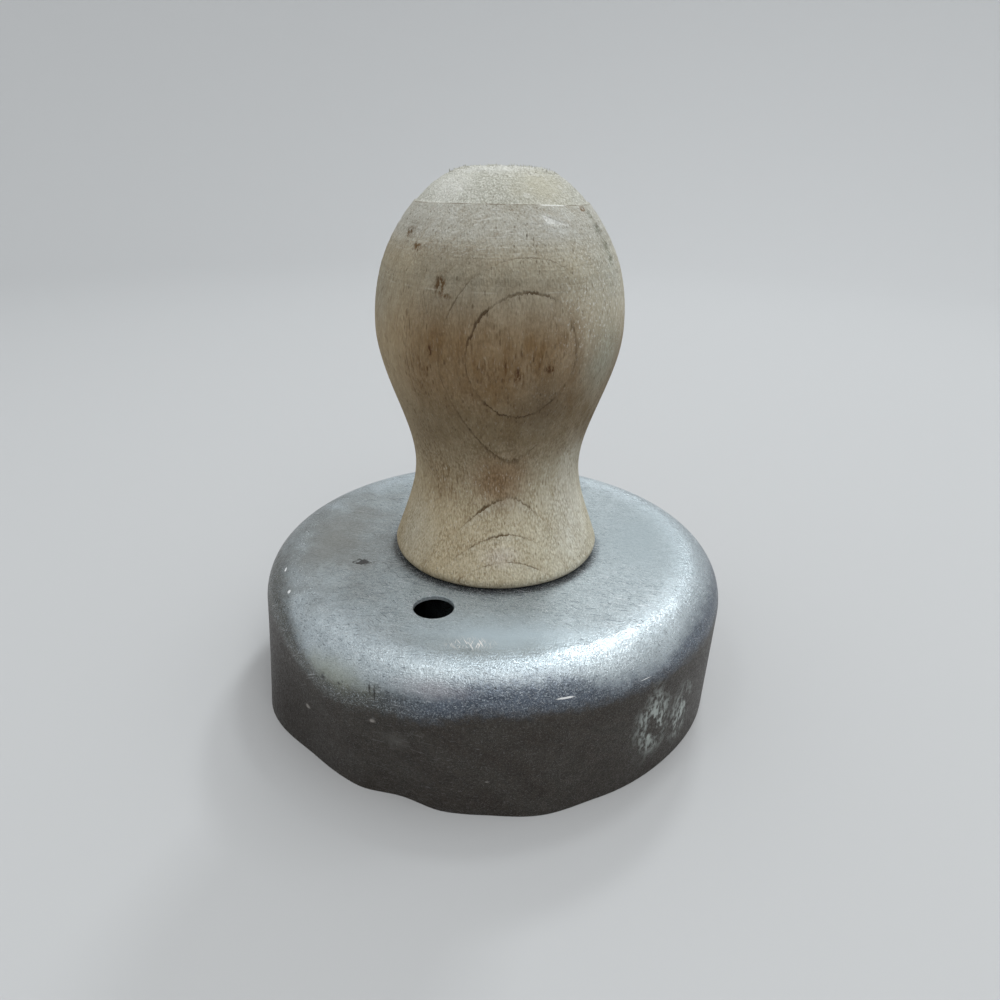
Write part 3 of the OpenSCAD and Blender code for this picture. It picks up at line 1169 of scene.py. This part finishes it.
def lathe_bands(point):
    """Mask of the dark bands that the tool left round the crown."""
    height = split(point)[2]
    bands = patches(point, (wide, wide, 0.42), 0.35, 0.65, seed=9, detail=2)
    bands = times(bands, times(ease(height, *bands_start), fade(height, *bands_end)))
    return times(bands, patches(point, (5, 5, 2.5), 0.35, 0.6, seed=17))


def lathe_lined(point, colour, bands, broken):
    """The colour with the dark bands and the pale lines of the lathe."""
    height = split(point)[2]
    colour = stain(colour, bands, 0.24, lathe_tone)
    for line_z, strength in tool_lines:
        line = times(fade(off(height, line_z), *tool_line_edge), broken)
        colour = cover(colour, line, strength, pale_fibre)
    return colour


print("tool lines at", [line_z for line_z, _ in tool_lines])

# %% [markdown]
# Single stains come on top of the grain: brown spots that ran into the fibres, one grey streak down the
# right of the crown, and a dark fleck. A mark with a frayed edge is broken up by the fibres under it,
# so that it doesn't look like a disc.

# %% Stains on the handle
ring_tone = (0.30, 0.235, 0.17)
stain_tone = (0.40, 0.27, 0.16)
grey_streak_tone = (0.40, 0.41, 0.34)
fleck_tone = (0.2, 0.16, 0.12)
stains = [
    ((-12.1, -8.7, 74.1), (0.7, 1.0, 1.0)),
    ((-7.7, -15.7, 68.5), (1.1, 1.0, 1.7)),
    ((-6.9, -16.0, 67.2), (1.3, 1.0, 0.5)),
    ((-9.1, -16.1, 60.2), (0.5, 0.9, 1.2)),
    ((2.5, -18.0, 57.3), (0.6, 0.9, 1.6)),
    ((6.7, -17.0, 58.1), (1.0, 0.9, 0.8)),
    ((-10.9, -11.5, 72.6), (0.9, 1.2, 0.7)),
    ((10.6, -6.6, 77.2), (0.8, 1.2, 0.6)),
]
grey_streak = [
    ((11.7, -6.1, 76.5), (0.9, 1.6, 1.1)),
    ((12.9, -6.5, 74.9), (0.8, 1.6, 1.3)),
    ((14.2, -6.9, 72.7), (1.0, 1.6, 1.7)),
    ((14.9, -7.0, 71.0), (0.8, 1.6, 1.2)),
]
flecks = [((3.2, -14.3, 74.5), (0.16, 0.5, 0.36))]


def stained(point, colour, granules):
    """The colour with the single stains."""
    along_fibres = masked(patches(point, (0.28, 0.28, 1.0), 0.42, 0.54, seed=2), 0.15, 1.0)
    for centre, reach in stains:
        spot = mark(point, centre, reach, fray=0.9, fray_size=0.5, core=0.35)
        colour = stain(colour, times(spot, along_fibres), 1.0, stain_tone)
    between_granules = masked(granules, 0.45, 1.0)
    for centre, reach in grey_streak:
        spot = mark(point, centre, reach, fray=1.0, fray_size=0.8, core=0.1)
        colour = stain(colour, times(spot, between_granules), 0.9, grey_streak_tone)
    for centre, reach in flecks:
        spot = mark(point, centre, reach, fray=0.4, fray_size=0.3, core=0.3)
        colour = stain(colour, spot, 0.9, fleck_tone)
    return colour


print("stains:", len(stains) + len(grey_streak) + len(flecks))

# %% [markdown]
# The splinter and the cut end show fresh wood, paler than the rest. The cut end has end grain, mottled
# pale and dark, yellowed on its right and bleached on its left, with a bright torn edge. It starts at the
# ridge, which has a thin dark line, except for one stretch that carries a painted highlight.

# %% Splinter, cut end and ridge
splinter_pale = (0.90, 0.90, 0.86)
cut_end_pale = (0.71, 0.71, 0.645)
cut_end_dark = (0.40, 0.39, 0.325)
cut_end_tan = (0.58, 0.55, 0.43)
cut_granule_tone = (0.62, 0.58, 0.52)
ridge_dark_tone = (0.38, 0.33, 0.26)
ridge_line_at = -0.04
ridge_line_edge = (0.04, 0.17)
cut_end_starts = (-0.02, 0.22)
front_ends = (-4.0, 0.0)
splinter_top_blur = 0.12
splinter_base_blur = 0.08
splinter_end_blur = 0.2


def splinter_mask(point):
    """Mask of the triangle that split off, from its distance inside each of its three sides."""
    from_corner = vector_maths("SUBTRACT", point, splinter_corner)
    along = dot(from_corner, splinter_right)
    up = split(from_corner)[2]
    mask = ease(plus(minus(splinter_top, up), along, -top_slope), 0.0, splinter_top_blur)
    mask = times(mask, ease(plus(up, along, base_slope), 0.0, splinter_base_blur))
    mask = times(mask, ease(plus(along, up, end_slope), 0.0, splinter_end_blur))
    return times(mask, fade(split(point)[1], *front_ends))


def cut_end(point, granules):
    """The colours of the cut end."""
    colour = blend(patches(point, (0.27, 0.27, 0.6), 0.32, 0.68, seed=4), cut_end_dark, cut_end_pale)
    yellowed = mark(point, (4.5, -7.0, 79.0), (6.0, 7.0, 5.0), fray=0.6, fray_size=2.0, core=0.2)
    colour = cover(colour, yellowed, 0.7, cut_end_tan)
    bleached = mark(point, (-6.5, -6.5, 79.5), (6.0, 8.0, 5.0), fray=0.6, fray_size=2.0, core=0.0)
    colour = cover(colour, bleached, 0.55, splinter_pale)
    colour = cover(colour, patches(point, (1.3, 1.3, 0.8), 0.55, 0.70, seed=13), 0.35, splinter_pale)
    colour = stain(colour, granules, 0.4, cut_granule_tone)
    torn_edge = mark(point, (-1.0, -4.0, 82.3), (9.0, 7.0, 1.4), fray=0.6, fray_size=1.0, core=0.3)
    return cover(colour, torn_edge, 0.45, splinter_pale)


def ridged(point, colour, above_ridge, broken):
    """The colour with the dark line along the ridge and the painted highlight on one stretch of it."""
    line = fade(off(above_ridge, ridge_line_at), *ridge_line_edge)
    # A painted highlight on one stretch of the ridge. The thin dark line runs along the rest.
    ridge_highlight = mark(point, (6.4, -10.4, 77.6), (3.4, 2.4, 0.8), fray=0.4, fray_size=1.0, core=0.5)
    ridge_darkening = times(times(line, minus(1.0, ridge_highlight)), masked(broken, 0.35, 1.0))
    colour = stain(colour, ridge_darkening, 0.8, ridge_dark_tone)
    return cover(colour, times(line, ridge_highlight), 0.85, splinter_pale)


print(f"splinter at {splinter_corner.z:.1f} mm, ridge at {ridge_z + seat_z:.1f} mm")

# %% [markdown]
# Now the layers are put on top of each other in the order in which they came to the handle. Dry wood
# is rough, and its relief is the sum of the masks that are high or low in the real wood: fibres up, pores,
# rings and granules down. Both wooden pieces get this one material.

# %% Bare wood
def bare_wood():
    material, shader, point = new_material("bare_wood")
    guide = put("ShaderNodeAttribute", {}, material.node_tree, attribute_name="above_ridge")
    above_ridge = guide.outputs["Fac"]
    grain = patches(point, (0.26, 0.26, 1.5), 0.34, 0.66, seed=7)
    granules = patches(point, (0.23, 0.23, 0.6), 0.36, 0.64, seed=3)
    fuzz = patches(point, (0.22, 0.22, 0.5), 0.2, 0.8, seed=6)
    pores = specks(point, (0.40, 0.40, 1.8), 0.24, 0.34, seed=1)
    broken = patches(point, (2.5, 2.5, 2.5), 0.44, 0.64, seed=6)
    bands = lathe_bands(point)
    dark_line, late_wood, early_wood = growth_rings(point)

    colour = ringed(point, broad_tones(point), late_wood, early_wood)
    colour = dried(point, grained(point, colour, grain, granules, pores))
    colour = lathe_lined(point, colour, bands, broken)
    colour = stained(point, stain(colour, dark_line, 0.95, ring_tone), granules)
    colour = cover(colour, times(splinter_mask(point), masked(granules, 1.0, 0.6)), 0.92, splinter_pale)
    colour = cover(colour, ease(above_ridge, *cut_end_starts), 0.88, cut_end(point, granules))
    colour = ridged(point, colour, above_ridge, broken)

    feed(shader, "Base Color", colour)
    feed(shader, "Roughness", masked(grain, 0.72, 0.9))
    shader.inputs["Specular IOR Level"].default_value = 0.3
    relief = times(grain, 0.8)
    for layer, height in ((pores, -1.0), (dark_line, -1.0), (bands, 0.5), (granules, -0.7), (fuzz, 0.9)):
        relief = plus(relief, layer, height)
    feed_bumps(shader, relief, 0.7, 0.12)
    return material


wood = bare_wood()
handle.data.materials.append(wood)
torn_fibres.data.materials.append(wood)
print("nodes in the wood:", len(wood.node_tree.nodes))

# %% [markdown]
# The cups are aluminium that was never polished. A grainy satin of four sizes lies over all of it, from
# clouds of some millimetres down to grains of a fifth of a millimetre. The wall's colour is a painted dark
# reflection, which ends in a painted blue-grey reflection edge on the shoulder. That edge
# isn't level: it sags and rises round the cup. The flat top has a matt film, so it mirrors little.

# %% Zones of a pressed cup
edge_sags = [(-11.0, -1.0, 2.2), (-22.0, -13.0, 1.4), (-34.0, -24.0, -4.4)]
edge_rise = 2.3
rise_starts = (9.0, 17.0)
rise_ends = (23.0, 31.0)
sag_ends = (-8.0, 8.0)
edge_depth = (-0.2, 3.2)
dark_reflection_depth = (-4.0, -0.6)
flat_ends = (27.5, 33.5)
flat_starts = (20.0, 22.0)
ragged_edge = [("blotches", 0.7), ("mottle", 0.25)]


def uneven_metal(point):
    """Masks of the metal's satin, from broad to fine."""
    return {
        "clouds": patches(point, (6, 6, 4), 0.3, 0.7, seed=2),
        "blotches": patches(point, (1.5, 1.5, 1.2), 0.36, 0.64, seed=4),
        "mottle": patches(point, (0.5, 0.5, 0.5), 0.35, 0.65, seed=1),
        "grains": patches(point, (0.22, 0.22, 0.22), 0.36, 0.64, seed=5, detail=2),
    }


def from_axis(point):
    """How far a place is from the cup's axis."""
    return length_of(vector_maths("MULTIPLY", point, (1, 1, 0)))


def cup_zones(point, uneven, dark_reflection_top, dark_reflection_share):
    """Masks of the painted reflection edge and all below it, of the wall's painted dark reflection, and of
    the flat top.
    """
    sideways, depth, height = split(point)
    sag = 0.0
    for far_left, near_left, drop in edge_sags:
        sag = plus(sag, ease(sideways, far_left, near_left, drop, 0.0))
    rise = times(ease(sideways, *rise_starts, 0.0, edge_rise), ease(sideways, *rise_ends, 1.0, 0.1))
    level = plus(height, times(sag, fade(depth, *sag_ends)))
    for layer, reach in ragged_edge:
        level = plus(level, uneven[layer], reach)
    # The shaded mask is a painted reflection edge, and the wall mask is a painted dark reflection.
    shaded = fade(plus(level, rise), dark_reflection_top + edge_depth[0], dark_reflection_top + edge_depth[1])
    wall = fade(level, dark_reflection_top + dark_reflection_depth[0], dark_reflection_top + dark_reflection_depth[1])
    flat = times(fade(from_axis(point), *flat_ends), ease(height, *flat_starts))
    return times(shaded, dark_reflection_share), times(wall, dark_reflection_share), flat


print("the edge sags at", [(far + near) / 2 for far, near, _ in edge_sags])

# %% [markdown]
# The tones follow the zones: bright metal on the shoulder, a grey film on the flat top with grime and a
# painted contact shadow round the handle's foot, a painted reflection edge that is dull on the left and
# blue in front, and the painted brown-grey reflection on the wall.
# The satin then darkens all of them alike.

# %% Tones of the aluminium
bright_metal = (0.74, 0.82, 0.86)
flat_grey = (0.40, 0.46, 0.485)
# Painted reflections: the blue and the dull edge, the dark wall and its paler patches.
blue_reflection_edge = (0.175, 0.207, 0.258)
dull_reflection_edge = (0.15, 0.152, 0.132)
painted_wall_reflection = (0.075, 0.063, 0.053)
patchy_wall_reflection = (0.125, 0.12, 0.105)
# Painted glints on the reflection edge.
edge_sparkle = (0.46, 0.52, 0.57)
cloud_tone = (0.80, 0.81, 0.82)
# Grime with painted contact shadow in a ring round the foot, and a wider painted shadow.
grime_and_shadow_tone = (0.12, 0.12, 0.13)
painted_shadow_tone = (0.45, 0.45, 0.45)
# Darker patches in the painted reflection edge.
edge_patch_tone = (0.48, 0.49, 0.51)
# Radii of the ring of grime and painted contact shadow, and of the wider painted shadow.
grime_and_shadow_r = (16.6, 17.9)
painted_shadow_r = (16.5, 20.5)
painted_shadow_thins = (4.0, 12.0)
upper_face_starts = (cup_h - 0.4, cup_h - 0.2)
dull_to_blue_reflection = (-20.0, -5.0)
satin_tones = [
    ("blotches", 0.56, (0.74, 0.75, 0.76)),
    ("mottle", 0.42, (0.66, 0.66, 0.66)),
    ("grains", 0.55, (0.62, 0.62, 0.62)),
]


def grimed_and_shaded(point, colour, mottle):
    """The colour with grime and painted contact shadow in a ring round the handle's foot, and a wider
    painted shadow that thins to the right, on the upper face only.
    """
    sideways, _, height = split(point)
    upper_face = ease(height, *upper_face_starts)
    radius = from_axis(point)
    # Grime and painted contact shadow close to the foot, and a wider painted shadow that thins to the right.
    grime_and_shadow = fade(plus(radius, mottle, -0.3), *grime_and_shadow_r)
    colour = stain(colour, times(grime_and_shadow, upper_face), 0.9, grime_and_shadow_tone)
    painted_shadow = times(fade(radius, *painted_shadow_r), ease(sideways, *painted_shadow_thins, 1.0, 0.35))
    return stain(colour, times(painted_shadow, upper_face), 0.6, painted_shadow_tone)


def metal_tones(point, uneven, shaded, wall, flat):
    """The cup's colour before scratches and marks."""
    colour = stain(bright_metal, uneven["clouds"], 0.30, cloud_tone)
    colour = grimed_and_shaded(point, cover(colour, flat, 0.85, flat_grey), uneven["mottle"])
    reflection_edge_tone = blend(ease(split(point)[0], *dull_to_blue_reflection), dull_reflection_edge, blue_reflection_edge)
    # Painted reflection edge above the wall, then the wall's painted dark reflection, paler in clouds.
    colour = blend(wall, blend(shaded, colour, reflection_edge_tone), painted_wall_reflection)
    colour = cover(colour, times(wall, uneven["clouds"]), 0.3, patchy_wall_reflection)
    for layer, share, tone in satin_tones:
        colour = stain(colour, uneven[layer], share, tone)
    # Darker patches and painted glints on the painted reflection edge.
    dark_edge = times(shaded, minus(1.0, wall))
    worn = patches(point, (1.3, 1.3, 0.7), 0.40, 0.62, seed=24, detail=2)
    colour = stain(colour, times(worn, dark_edge), 0.55, edge_patch_tone)
    sparkle = patches(point, (0.26, 0.26, 0.26), 0.56, 0.66, seed=23, detail=2)
    return cover(colour, times(sparkle, dark_edge), 0.5, edge_sparkle)


print("tones of satin:", [layer for layer, _, _ in satin_tones])

# %% [markdown]
# Years of wiping left fine bright scratches in all directions, short dark dashes and a few pits.
# The scratches are four sets of hairlines, each turned another way. On the dark wall they are faint.

# %% Scratches
scratch_bright = (0.86, 0.88, 0.90)
dash_tone = (0.42, 0.43, 0.45)
pit_black = (0.045, 0.042, 0.04)
scratch_width = 0.12
scratch_low = 0.66
first_turn = (0.0, 0.0, 0.3)
next_turn = (0.5, 0.35, 0.9)
scratch_lengths = (3.6, 4.0, 3.0, 2.2)
on_wall = 0.25


def scratches(point):
    """Mask of fine scratches in all directions."""
    mask = 0.0
    for number, length in enumerate(scratch_lengths):
        turn = tuple(number * angle for angle in next_turn) if number else first_turn
        lines = hairlines(point, turn, length, scratch_width, scratch_low, seed=3 + number)
        mask = larger(mask, lines)
    return mask


def scratched(point, colour, fine, pits, wall, flat):
    """The colour with bright scratches, dark dashes and pits."""
    colour = cover(colour, fine, masked(flat, 0.42, 0.6), scratch_bright)
    dashes = larger(hairlines(point, (0.0, 0.0, 0.12), 1.5, 0.2, 0.66, seed=9),
                    hairlines(point, (0.0, 0.0, 0.85), 1.2, 0.2, 0.67, seed=15))
    colour = stain(colour, times(dashes, masked(wall, 1.0, on_wall)), 0.9, dash_tone)
    return cover(colour, pits, 0.6, pit_black)


print("sets of scratches:", len(scratch_lengths))

# %% [markdown]
# Only the large cup has a list of marks with their places: tints and films, a painted shade on the left of
# the top, a painted dark reflection on the left of the wall, a less metallic painted bright reflection in
# front of the handle, a painted pink highlight on the shoulder, pits and nicks, a group of scuffs, and the
# white bloom of corrosion on the right of its wall. Each kind of mark has its own fray, the size of that
# fray, a solid core, a paint and a share. Scuffs, pitted places and bloom are broken up further by strokes,
# specks and crusts.

# %% Marks on the large cup
bloom_white = (0.42, 0.46, 0.435)
mark_looks = {
    "warm": (0.9, 5.0, 0.0, (0.172, 0.165, 0.145), 0.78),
    "film": (0.4, 5.0, 0.0, (0.31, 0.365, 0.39), 0.78),
    "skin": (0.5, 4.0, 0.0, (0.034, 0.026, 0.020), 1.0),
    "painted_reflection_front": (0.5, 4.0, 0.0, (0.58, 0.69, 0.76), 0.85),
    "tint": (0.6, 3.0, 0.1, (0.40, 0.42, 0.33), 0.50),
    "blush": (0.6, 3.0, 0.1, (0.45, 0.42, 0.45), 0.45),
    "scuff": (0.8, 1.0, 0.2, (0.95, 0.95, 0.95), 1.0),
    "pitted": (0.5, 1.5, 0.3, pit_black, 0.85),
    "pit": (0.9, 0.5, 0.2, pit_black, 0.85),
    "squiggle": (3.0, 0.8, 0.6, pit_black, 1.0),
    "nick": (0.6, 0.4, 0.4, (0.92, 0.92, 0.92), 1.0),
    "chip": (1.0, 0.5, 0.2, (0.40, 0.37, 0.34), 0.9),
    "rub": (0.9, 1.2, 0.0, (0.17, 0.165, 0.15), 0.6),
    "bloom": (0.5, 2.0, 0.2, bloom_white, 0.9),
}
dull_marks = {"bloom": 1.0, "scuff": 1.0, "nick": 1.0, "painted_reflection_front": 0.65}
cup_marks = [
    # Painted shade on the left of the top.
    ("warm", (-27.0, 0.0, 23.5), (17.0, 30.0, 7.0)),
    ("film", (25.0, 2.0, 23.5), (13.0, 24.0, 5.0)),
    # Painted dark reflection on the left of the wall.
    ("skin", (-32.0, -20.0, 8.0), (16.0, 15.0, 14.0)),
    # Painted bright, bluish reflection in front of the handle, also less metallic.
    ("painted_reflection_front", (0.0, -28.5, 23.5), (18.0, 8.5, 3.0)),
    ("tint", (-21.5, -30.5, 19.0), (9.0, 7.0, 3.2)),
    # Painted pink highlight on the shoulder, left of the front.
    ("blush", (-8.5, -36.0, 20.6), (8.0, 5.0, 1.8)),
    ("scuff", (-3.2, -29.9, 23.5), (4.6, 2.1, 0.9)),
    ("pitted", (-21.0, -31.5, 17.4), (3.4, 3.0, 1.4)),
    ("squiggle", (-21.5, -8.2, 23.5), (1.5, 1.0, 1.0)),
    ("pit", (-23.8, -29.6, 17.3), (0.6, 0.6, 0.6)),
    ("pit", (-15.8, -34.3, 18.3), (0.22, 1.2, 1.7)),
    ("pit", (-16.5, -34.0, 18.9), (0.2, 1.2, 1.2)),
    ("pit", (-21.2, -31.5, 17.7), (0.4, 0.4, 0.4)),
    ("nick", (-33.4, -10.0, 22.8), (0.22, 0.7, 0.5)),
    ("nick", (-31.3, -16.1, 22.6), (0.35, 0.5, 0.4)),
    ("chip", (-16.4, -34.3, 13.4), (0.7, 1.4, 0.45)),
    ("chip", (-27.3, -26.5, 9.3), (0.6, 1.4, 0.5)),
    ("rub", (-13.7, -35.4, 11.0), (3.5, 2.0, 2.4)),
    ("nick", (9.5, -36.2, 19.6), (1.7, 1.6, 0.17)),
    ("nick", (20.8, -31.0, 19.0), (1.3, 1.6, 0.07)),
    ("chip", (-0.6, -37.6, 6.3), (0.4, 1.4, 0.14)),
    ("bloom", (23.4, -29.8, 10.0), (5.2, 5.2, 8.5)),
    ("bloom", (28.6, -24.8, 8.0), (4.4, 4.4, 7.0)),
]


def broken_up(point, kind, mask):
    """A mark's mask, broken up as its kind is."""
    if kind == "scuff":
        strokes = larger(hairlines(point, (0.0, 0.0, 1.15), 1.7, 0.15, 0.585, seed=11),
                         hairlines(point, (0.0, 0.0, -1.35), 1.4, 0.14, 0.595, seed=12))
        return times(mask, strokes)
    if kind == "pitted":
        return times(mask, specks(point, (0.9, 0.9, 0.9), 0.4, 0.3, seed=5))
    if kind == "bloom":
        crust = patches(point, (0.6, 0.6, 1.0), 0.36, 0.60, seed=8, detail=4)
        return times(times(mask, crust), patches(point, (1.6, 1.6, 3.2), 0.38, 0.52, seed=10))
    return mask


def marked(point, colour, dulled, marks):
    """The colour with the marks, and the mask of all places that have lost the gleam of metal."""
    for kind, centre, reach in marks:
        fray, fray_size, core, paint, share = mark_looks[kind]
        mask = broken_up(point, kind, mark(point, centre, reach, fray, fray_size, core))
        colour = cover(colour, mask, share, paint)
        if kind in dull_marks:
            dulled = larger(dulled, times(mask, dull_marks[kind]))
    return colour, dulled


print("marks on the large cup:", len(cup_marks))

# %% [markdown]
# One function puts these layers together for both cups. The small cup and both insides have a weaker
# painted dark reflection and no marks of their own. Dulled places are less metallic, the film and the
# painted dark wall are rougher, and the satin, the scratches and the pits make a fine relief.

# %% Pressed aluminium
def pressed_aluminium(name, dark_reflection_top, dark_reflection_share, marks):
    """Aluminium with a painted dark wall reflection up to a height. The marks are (kind, centre, reach)."""
    material, shader, point = new_material(name)
    uneven = uneven_metal(point)
    shaded, wall, flat = cup_zones(point, uneven, dark_reflection_top, dark_reflection_share)
    fine = times(scratches(point), masked(wall, 1.0, on_wall))
    pits = specks(point, (2.2, 2.2, 2.2), 0.25, 0.09, seed=2)
    colour = metal_tones(point, uneven, shaded, wall, flat)
    colour = scratched(point, colour, fine, pits, wall, flat)
    colour, dulled = marked(point, colour, times(fine, 0.5), marks)
    dulled = larger(dulled, times(flat, 0.75))

    feed(shader, "Base Color", colour)
    feed(shader, "Metallic", masked(dulled, 0.85, 0.15))
    rough = masked(uneven["mottle"], 0.28, 0.38)
    for layer, rougher in ((flat, 0.16), (wall, 0.14), (fine, -0.06)):
        rough = plus(rough, layer, rougher)
    feed(shader, "Roughness", rough)
    relief = times(uneven["mottle"], 0.5)
    for layer, height in ((uneven["grains"], 0.6), (fine, -0.4), (pits, -1.0)):
        relief = plus(relief, layer, height)
    feed_bumps(shader, times(relief, masked(flat, 1.0, 0.3)), 0.8, 0.045)
    return material


cup_metal = pressed_aluminium("pressed_aluminium", dark_reflection_top=21.0, dark_reflection_share=1.0, marks=cup_marks)
small_metal = pressed_aluminium("inner_aluminium", dark_reflection_top=14.0, dark_reflection_share=0.4, marks=[])
for cup, outside in ((cutter_cup, cup_metal), (hole_cutter, small_metal)):
    cup.data.materials.append(outside)
    cup.data.materials.append(small_metal)
print("nodes in the aluminium:", len(cup_metal.node_tree.nodes))

# %% [markdown]
# The screw is dull steel. It shares the patches, hairlines and specks of the other metal, in darker
# colours and with small spots of brown rust.

# %% Steel of the screw
steel_light = (0.42, 0.41, 0.40)
steel_dark = (0.27, 0.26, 0.25)
steel_scratch = (0.6, 0.6, 0.6)
rust_brown = (0.16, 0.09, 0.05)


def screw_steel():
    material, shader, point = new_material("screw_steel")
    dull = patches(point, (1.5, 1.5, 1.5), 0.35, 0.65, seed=1)
    lines = hairlines(point, (0.0, 0.0, 0.6), 3.0, 0.07, 0.62, seed=2)
    rust = specks(point, (0.6, 0.6, 0.6), 0.3, 0.4, seed=3)
    colour = cover(blend(dull, steel_light, steel_dark), lines, 0.5, steel_scratch)
    feed(shader, "Base Color", cover(colour, rust, 0.5, rust_brown))
    feed(shader, "Roughness", masked(dull, 0.32, 0.5))
    shader.inputs["Metallic"].default_value = 1.0
    feed_bumps(shader, minus(dull, lines), 0.3, 0.04)
    return material


steel = screw_steel()
handle_screw.data.materials.append(steel)
print("nodes in the steel:", len(steel.node_tree.nodes))

# %% [markdown]
# The stage is a round floor whose edge curves up into a wall, all in one pale colour, so there is no line
# where the floor ends. A flat plane with a grey world would do, but then the metal would mirror a horizon.

# %% Floor and backdrop
floor_r = 500.0
curve_r = 300.0
wall_top = 480.0
sweep_segments = 72
sweep_start = 0.5
paper_grey = (0.54, 0.54, 0.545, 1)

sweep = np.concatenate([straight((sweep_start, 0), (floor_r, 0), 12),
                        arc((floor_r, curve_r), curve_r, -90, 0, 14)[1:],
                        [(floor_r + curve_r, wall_top)]])
sweep_points = turned_grid(sweep, sweep_segments)
sweep_faces = [tuple(reversed(face)) for face in ring_faces(len(sweep), sweep_segments)]
sweep_faces.append(tuple(range(sweep_segments)))
floor = mesh_object("floor_and_backdrop", sweep_points, sweep_faces, sharp_angle=80)
paper = bpy.data.materials.new("pale_paper")
paper.use_nodes = True
paper_shader = paper.node_tree.nodes["Principled BSDF"]
paper_shader.inputs["Base Color"].default_value = paper_grey
paper_shader.inputs["Roughness"].default_value = 0.9
paper_shader.inputs["Specular IOR Level"].default_value = 0.1
floor.data.materials.append(paper)
print("floor", floor_r * MM, "m to the curve")

# %% [markdown]
# The light is plain and soft. A broad box overhead and a warmer one in front light the wood, two smaller
# boxes at the back make the bright patch on the shoulder, and a weak one on the left lifts that side.
# A grey world fills the shadows. The strengths are plain too: a colour that faces up comes out about
# as it is written.

# %% Light
cool = (0.93, 0.98, 1.0)
warm = (1.0, 0.98, 0.95)
aim_z = 40.0
fill_colour = (0.95, 0.985, 1.0, 1)
fill_strength = 0.64
soft_boxes = [
    ("overhead_box", (260, -40, 900), 480, 1.3, cool),
    ("front_box", (120, -430, 640), 420, 1.15, warm),
    ("back_right_box", (215, 555, 675), 110, 1.5, cool),
    ("back_top_box", (215, 300, 880), 120, 1.1, cool),
    ("left_box", (-330, -190, 880), 120, 0.35, cool),
]


def soft_box(name, place, side, power, colour):
    """A square area lamp at a place in millimetres that faces the middle of the cutter."""
    data = bpy.data.lights.new(name, "AREA")
    data.shape = "SQUARE"
    data.size = side * MM
    data.energy = power
    data.color = colour
    lamp = bpy.data.objects.new(name, data)
    lamp.location = Vector(place) * MM
    toward = Vector((0, 0, aim_z * MM)) - lamp.location
    lamp.rotation_euler = toward.to_track_quat("-Z", "Y").to_euler()
    bpy.context.scene.collection.objects.link(lamp)


for name, place, side, power, colour in soft_boxes:
    soft_box(name, place, side, power, colour)
world = bpy.data.worlds.new("studio_fill")
world.use_nodes = True
fill = world.node_tree.nodes["Background"]
fill.inputs["Color"].default_value = fill_colour
fill.inputs["Strength"].default_value = fill_strength
bpy.context.scene.world = world
bpy.context.scene.view_settings.view_transform = "Standard"
